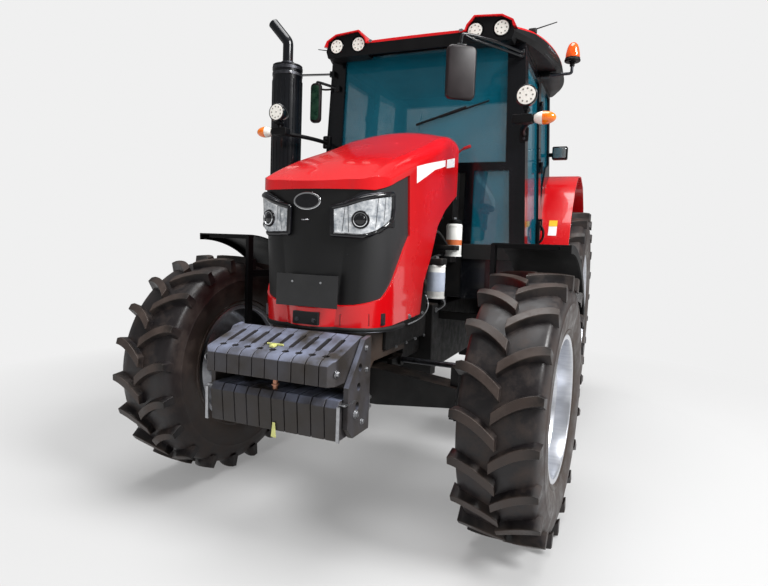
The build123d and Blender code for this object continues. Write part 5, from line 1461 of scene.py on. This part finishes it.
def filterFittings():
    white, dark, blue, orange, steel, heads = (bmesh.new() for _ in range(6))
    for can, band in zip(filterPlan, (blue, orange)):
        x, y, low, high, radius = (can[k] for k in ("x", "y", "low", "high", "radius"))
        addRound(white, [(0, 0.004), (0, radius - 0.008), (0.003, radius - 0.003), (0.009, radius),
                         (high - low - 0.009, radius), (high - low - 0.002, radius - 0.004),
                         (high - low, radius - 0.012), (high - low, 0.004)], (x, y, low), (0, 0, 1), 48)
        addRod(white, (x, y, low), (x, y, high), 0.005, 12)
        for z0, z1, grow in ((low - 0.004, low + 0.006, 0.0022), (high - 0.02, high - 0.014, 0.0018)):
            addRound(white, [(0, radius - 0.004), (0, radius + grow), (z1 - z0, radius + grow),
                             (z1 - z0, radius - 0.004)], (x, y, z0), (0, 0, 1), 40)
        addRound(dark, [(0, 0.01), (0, radius * 0.8), (0.006, radius * 0.86), (0.024, radius * 0.84),
                        (0.03, radius * 0.55), (0.03, 0.01)], (x, y, high - 0.001), (0, 0, 1), 40)
        addRod(steel, (x, y, high + 0.026), (x, y, high + 0.04), 0.013, 6)
        tall = (high - low) * can["bandTall"]
        middle = low + (high - low) * can["bandAt"]
        addRound(band, [(0, radius - 0.001), (0, radius + 0.0009), (tall, radius + 0.0009),
                        (tall, radius - 0.001)], (x, y, middle - tall / 2), (0, 0, 1), 48)
    roundedBlock(heads, (0.285, -0.902, 1.31), (0.189, 0.104, 0.04), 0.012, 0.004, 2)
    roundedBlock(heads, (0.285, -0.6705, 1.395), (0.189, 0.059, 0.03), 0.01, 0.004, 2)
    roundedBlock(heads, (0.335, -0.625, 1.395), (0.108, 0.1, 0.03), 0.02, 0.004, 2)
    finish("filterHeads", heads, "engineIron", "chassis")
    finish("filterCans", white, "whiteEnamel", "chassis", ("engine_filters",), angle=30)
    finish("filterCaps", dark, "blackPolypropylene", "chassis", bevel=0.001)
    finish("filterBand", blue, "blueGreyLabel", "chassis")
    finish("filterStripe", orange, "orangeLabel", "chassis")
    finish("filterNuts", steel, "zincPlate", "chassis", bevel=0.0008)


hoseRuns = [
    # radius and points: upper and lower coolant hose, then the thinner ones to filters and firewall
    (0.024, [(0.262, -1.42, 1.43), (0.275, -1.3, 1.41),
             (0.262, -1.15, 1.44), (0.2, -1.06, 1.44)]),
    (0.02, [(0.25, -1.42, 1.12), (0.275, -1.34, 1.06),
            (0.262, -1.2, 1.02), (0.188, -1.13, 1.02)]),
    (0.011, [(0.3, -0.93, 1.47), (0.285, -0.85, 1.56),
             (0.27, -0.7, 1.59), (0.262, -0.6285, 1.58)]),
    (0.008, [(0.29, -1.0, 1.43), (0.305, -0.88, 1.5),
             (0.3, -0.74, 1.47), (0.32, -0.66, 1.4)]),
    (0.007, [(0.24, -1.05, 1.25), (0.29, -0.96, 1.3),
             (0.3, -0.9, 1.34), (0.275, -0.6285, 1.35)]),
    (0.009, [(0.23, -0.83, 1.12), (0.285, -0.76, 1.08),
             (0.27, -0.7, 1.13), (0.262, -0.6285, 1.2)]),
]
hoseClips = [(0.268, -1.36, 1.42, 0.0265), (0.214, -1.075, 1.44, 0.0265), (0.262, -1.385, 1.095, 0.0225)]
steelLines = [
    (0.006, [(0.3, -0.7, 1.09), (0.312, -0.64, 1.06), (0.3, -0.6, 1.02), (0.245, -0.59, 0.99)]),
    (0.005, [(0.205, -0.74, 1.11), (0.25, -0.735, 1.04), (0.245, -0.9, 0.96), (0.2, -1.0, 0.94)]),
]


def enginePlumbing():
    hoses, lines, iron, zinc = (bmesh.new() for _ in range(4))
    for i in range(4):   # injection lines over the block
        y = -1.16 + i * 0.13
        addTube(lines, [(0.15, y, 1.33), (0.235, y + 0.01, 1.345), (0.25, y + 0.03, 1.25 - 0.02 * i),
                        (0.215, -0.8 + 0.016 * i, 1.2 - 0.02 * i)], 0.0035, 6)
        addRod(zinc, (0.152, y, 1.322), (0.152, y, 1.36), 0.01, 6)
    addRod(iron, (0.205, -0.9, 1.15), (0.205, -0.7, 1.15), 0.042, 28)   # injection pump
    addRod(iron, (0.205, -0.93, 1.15), (0.205, -0.9, 1.15), 0.055, 28)
    addRod(iron, (0.225, -1.225, 1.18), (0.225, -1.115, 1.18), 0.062, 32)   # alternator
    addRod(zinc, (0.225, -1.245, 1.18), (0.225, -1.227, 1.18), 0.04, 28)
    for i in range(8):
        a = math.tau * i / 8
        spot = (0.225 + 0.05 * math.cos(a), -1.115, 1.18 + 0.05 * math.sin(a))
        addBolt(iron, spot, (0, 1, 0), 0.006, False)
    addBox(iron, (0.186, -1.14, 1.095), (0.235, -1.0, 1.125))
    roundedBlock(iron, (0.192, -0.96, 1.365), (0.06, 0.56, 0.05), 0.018, 0.008, 0)   # intake manifold
    for y in (-1.12, -0.96, -0.8):
        addBolt(zinc, (0.222, y, 1.365), (1, 0, 0), 0.009)
    for y in (-1.2, -1.04, -0.88, -0.72):
        addBolt(zinc, (0.19, y, 0.98), (1, 0, 0), 0.01)
        addBolt(zinc, (0.19, y + 0.05, 0.83), (1, 0, 0), 0.008)
    for radius, run in hoseRuns:
        addTube(hoses, run, radius, 8)
    for x, y, z, r in hoseClips:
        addRound(zinc, [(-0.006, r - 0.002), (-0.006, r), (0.006, r), (0.006, r - 0.002)], (x, y, z),
                 (0, 1, 0), 28)
    for radius, run in steelLines:
        addTube(lines, run, radius, 6)
    addRound(zinc, [(0, 0.009), (0, 0.017), (0.008, 0.017), (0.008, 0.009)], (0.238, -0.59, 0.99),
             (1, 0, 0), 24)
    addRod(zinc, (0.196, -0.69, 1.3), (0.232, -0.69, 1.3), 0.02, 24)
    for bm, name, material, slotName, soft in ((hoses, "engineHoses", "sealRubber", "chassis_black", 0.0),
                                               (lines, "engineLines", "zincPlate", "bright_steel", 0.0),
                                               (iron, "enginePumps", "engineIron", "engine_grey", 0.001),
                                               (zinc, "engineBolts", "zincPlate", "bright_steel", 0.001)):
        finish(name, bm, material, "chassis", bevel=soft)
    other = bmesh.new()   # the exhaust manifold on the far side
    roundedBlock(other, (-0.212, -0.96, 1.33), (0.07, 0.54, 0.06), 0.02, 0.01, 0)
    for y in (-1.16, -1.0, -0.84):
        addBolt(other, (-0.2475, y, 1.33), (-1, 0, 0), 0.009)
        addBolt(other, (-0.19, y, 0.9), (-1, 0, 0), 0.01)
    finish("exhaustManifold", other, "engineIron", "chassis", bevel=0.001)


def rubberEdges():
    edge = bmesh.new()   # rubber against the bonnet's rear edge
    for side in (1, -1):
        run = [Vector((side * x, -0.5665, z)) for x, z in ((0.33, 1.7), (0.332, 1.85), (0.32, 1.96),
                                                          (0.27, 2.035), (0.15, 2.075), (0.0, 2.088))]
        addTube(edge, run, 0.007, 6)
    finish("bonnetRearRubber", edge, "sealRubber", "chassis")


def sillStrips():
    strip = bmesh.new()   # rubber apron over the foot of the front quarter panes
    for side in (1, -1):
        addBox(strip, (min(side * 0.345, side * 0.73), -0.3965, 1.325),
               (max(side * 0.345, side * 0.73), -0.3905, 1.425))
    finish("sillStrips", strip, "sealRubber", "chassis", bevel=0.002)
    lever = bmesh.new()
    addTube(lever, [(0.29, -0.44, 2.008), (0.312, -0.44, 2.034), (0.34, -0.44, 2.044)], 0.006, 6)
    addRod(lever, (0.33, -0.44, 2.041), (0.378, -0.44, 2.056), 0.0105, 20)
    finish("screenLever", lever, "redAcrylic", "chassis", bevel=0.002)


stack = {"axis": (-0.93, -0.594), "bands": (1.64, 1.715, 2.56, 2.6), "bandRadius": (0.1025, 0.1055),
         "ribs": 22, "ribRadius": 0.0035, "ribAt": 0.103, "ribFrom": 1.76, "ribTo": 2.52}


def stackFittings():
    x, y = stack["axis"]
    inner, outer = stack["bandRadius"]
    bands, bolts = bmesh.new(), bmesh.new()
    for z in stack["bands"]:
        addRound(bands, [(-0.01, inner), (-0.01, outer), (0.01, outer), (0.01, inner)], (x, y, z),
                 (0, 0, 1), 56)
    shield = bmesh.new()
    for i in range(stack["ribs"]):   # rows of slots in the guard, as raised ribs
        a = math.tau * i / stack["ribs"]
        out = Vector((math.cos(a), math.sin(a), 0)) * stack["ribAt"]
        addRod(shield, Vector((x, y, stack["ribFrom"])) + out, Vector((x, y, stack["ribTo"])) + out,
               stack["ribRadius"], 8)
    addRound(bands, [(0, 0.036), (0, 0.047), (0.026, 0.047), (0.026, 0.036)], (x, y, 2.6245), (0, 0, 1), 40)
    for z in stack["bands"][1:3]:
        addBolt(bolts, (x + 0.075, y - 0.078, z), (0.69, -0.72, 0), 0.008)
    finish("exhaustBands", bands, "darkSteel", "chassis", bevel=0.0008)
    finish("exhaustGuardRibs", shield, "blackEnamel", "chassis")
    finish("exhaustBolts", bolts, "zincPlate", "chassis", bevel=0.0006)


labels = [("Low", "whiteFilm", 1.515, 1.585), ("High", "yellowFilm", 1.586, 1.632)]   # blank, low to high


def fenderStickers():
    for side, tail in sideNames.items():
        for name, material, low, high in labels:
            film = bmesh.new()
            corners = []
            for x, z in ((0.797, low), (0.858, low), (0.858, high), (0.797, high)):
                spot = frontSpot("fender_rear_" + tail, side * x, z, 0.0)
                if spot is not None:
                    corners.append(spot + Vector((0, -0.001, 0)))
            if len(corners) == 4:
                addPlate(film, corners if side > 0 else corners[::-1], 0.0006)
                finish("fenderLabel" + name + tail.capitalize(), film, material, "chassis")
            else:
                film.free()


def guardFittings():
    for tail in sideNames.values():
        node = "fender_front_" + tail
        low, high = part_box(node)
        bolts = bmesh.new()
        middle = (low.x + high.x) / 2
        for dx in (-0.05, 0.05):
            for y in (-1.02, -0.86):
                spot, normal = ontoNode(node, (middle + dx, y, 2), (0, 0, -1))
                if spot is not None:
                    addBolt(bolts, spot, normal, 0.009)
        finish("guardBolts" + tail.capitalize(), bolts, "zincPlate", "knuckle_" + tail,
               bevel=0.0008)


tankPlan = {"cap": (-0.23, 0.9), "straps": (-0.275, 0.065), "strapHalf": 0.02, "low": 0.62,
            "high": 0.94}


def tankFittings():
    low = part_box("fuel_tank")[0]
    cap, straps = bmesh.new(), bmesh.new()
    addRound(cap, [(0, 0.006), (0, 0.05), (0.006, 0.054), (0.03, 0.052), (0.036, 0.04), (0.036, 0.006)],
             (low.x + 0.001, *tankPlan["cap"]), (-1, 0, 0), 36)
    half, foot, top = (tankPlan[k] for k in ("strapHalf", "low", "high"))
    for y in tankPlan["straps"]:
        addBox(straps, (low.x - 0.003, y - half, foot), (low.x + 0.001, y + half, top))
        addBolt(straps, (low.x - 0.003, y, 0.64), (-1, 0, 0), 0.008)
    finish("tankCap", cap, "blackPolypropylene", "chassis", bevel=0.001)
    finish("tankStraps", straps, "darkSteel", "chassis", bevel=0.001)


stepGrip = {"treads": (0.492, 0.762), "bars": 9, "from": 0.66, "pitch": 0.031, "wide": 0.01, "tall": 0.004}


def stepFittings():
    grip = bmesh.new()
    for z in stepGrip["treads"]:
        for i in range(stepGrip["bars"]):
            x = stepGrip["from"] + i * stepGrip["pitch"]
            addBox(grip, (x, -0.315, z), (x + stepGrip["wide"], 0.117, z + stepGrip["tall"]))
    finish("stepGrip", grip, "zincPlate", "chassis", bevel=0.0008, segments=1)


filterFittings()
enginePlumbing()
rubberEdges()
sillStrips()
stackFittings()
fenderStickers()
guardFittings()
tankFittings()
stepFittings()
print("engine bay and fittings made")


stageSize = {"floor": 60.0, "paperTone": "#f0f0f0", "litTone": "#b6b6b6", "plainFrom": 2.4, "plainTo": 4.6,
             "plainLeast": 0.25, "softLight": 0.42, "mirroredLight": 0.22, "paperLight": 1.0}
lamps = [
    # name, place, size, watts, aimed at, seen in reflections
    ("keySoftbox", (10.0, -3.0, 9.0), 5.0, 2100, (0.2, 0, 1.2), True),
    ("overhead", (0.0, -1.5, 14.0), 10.0, 1700, (0, 0, 0), True),
    ("frontFill", (-3.5, -12.0, 4.0), 5.0, 200, (0, -1, 1.0), False),
]
cameraView = {"place": (1.3243, -4.0408, 1.3971), "yaw": 0.399, "pitch": -0.086, "roll": 0.0377,
              "lens": 26.14, "sensor": 36.0}


def paperFloor():
    bm = bmesh.new()
    half = stageSize["floor"] / 2
    bmesh.ops.create_grid(bm, x_segments=1, y_segments=1, size=half)
    mesh = bpy.data.meshes.new("floor")
    bm.to_mesh(mesh)
    bm.free()
    floor = bpy.data.objects.new("floor", mesh)
    bpy.context.scene.collection.objects.link(floor)
    made = bpy.data.materials.new("paperFloor")
    made.use_nodes = True
    tree = made.node_tree
    tree.nodes.clear()
    lit = addNode(tree, "ShaderNodeBsdfDiffuse", {"Color": linear(stageSize["litTone"])})
    plain = addNode(tree, "ShaderNodeEmission", {"Color": linear(stageSize["paperTone"])})
    far = addNode(tree, "ShaderNodeVectorMath", {"operation": "LENGTH"}, {0: place(tree)}).outputs["Value"]
    share = mapRange(tree, far, *(stageSize[k] for k in ("plainFrom", "plainTo", "plainLeast")))
    both = addNode(tree, "ShaderNodeMixShader", None, {0: share, 1: lit.outputs[0],
                                                       2: plain.outputs[0]})
    addNode(tree, "ShaderNodeOutputMaterial", links={"Surface": both.outputs[0]})
    mesh.materials.append(made)


def studioWorld():
    world = bpy.data.worlds.new("studio")
    bpy.context.scene.world = world
    world.use_nodes = True
    tree = world.node_tree
    tree.nodes.clear()
    paths = addNode(tree, "ShaderNodeLightPath").outputs
    soft = addNode(tree, "ShaderNodeBackground", {"Color": grey(1.0), "Strength": stageSize["softLight"]})
    shown = addNode(tree, "ShaderNodeBackground", {"Color": grey(1.0),
                                                   "Strength": stageSize["mirroredLight"]})
    paper = addNode(tree, "ShaderNodeBackground", {"Color": linear(stageSize["paperTone"]),
                                                   "Strength": stageSize["paperLight"]})
    part = addNode(tree, "ShaderNodeMixShader", None, {0: paths["Is Glossy Ray"], 1: soft.outputs[0],
                                                       2: shown.outputs[0]})
    seen = reckon(tree, "MAXIMUM", paths["Is Camera Ray"], paths["Is Transmission Ray"])
    both = addNode(tree, "ShaderNodeMixShader", None, {0: seen, 1: part.outputs[0], 2: paper.outputs[0]})
    addNode(tree, "ShaderNodeOutputWorld", links={"Surface": both.outputs[0]})


def hangLamp(name, spot, size, watts, aim, inReflections):
    light = bpy.data.lights.new(name, "AREA")
    light.shape = "DISK"
    light.size = size
    light.energy = watts
    holder = bpy.data.objects.new(name, light)
    holder.location = spot
    holder.visible_glossy = inReflections
    holder.rotation_euler = (Vector(spot) - Vector(aim)).to_track_quat("Z", "Y").to_euler()
    bpy.context.scene.collection.objects.link(holder)


def setCamera():
    yaw, pitch, roll = (cameraView[k] for k in ("yaw", "pitch", "roll"))
    ahead = Vector((-math.sin(yaw) * math.cos(pitch), math.cos(yaw) * math.cos(pitch), math.sin(pitch)))
    level = Vector((math.cos(yaw), math.sin(yaw), 0))
    upright = level.cross(ahead)
    right = math.cos(roll) * level + math.sin(roll) * upright
    top = -math.sin(roll) * level + math.cos(roll) * upright
    turn = Matrix((right, top, -ahead)).transposed().to_4x4()
    data = bpy.data.cameras.new("frontQuarterView")
    data.lens = cameraView["lens"]
    data.sensor_width = cameraView["sensor"]
    camera = bpy.data.objects.new("frontQuarterView", data)
    camera.matrix_world = Matrix.Translation(cameraView["place"]) @ turn
    bpy.context.scene.collection.objects.link(camera)
    bpy.context.scene.camera = camera


paperFloor()
studioWorld()
for lamp in lamps:
    hangLamp(*lamp)
setCamera()
bpy.context.scene.view_settings.view_transform = "Standard"
print("stage, light and camera set")
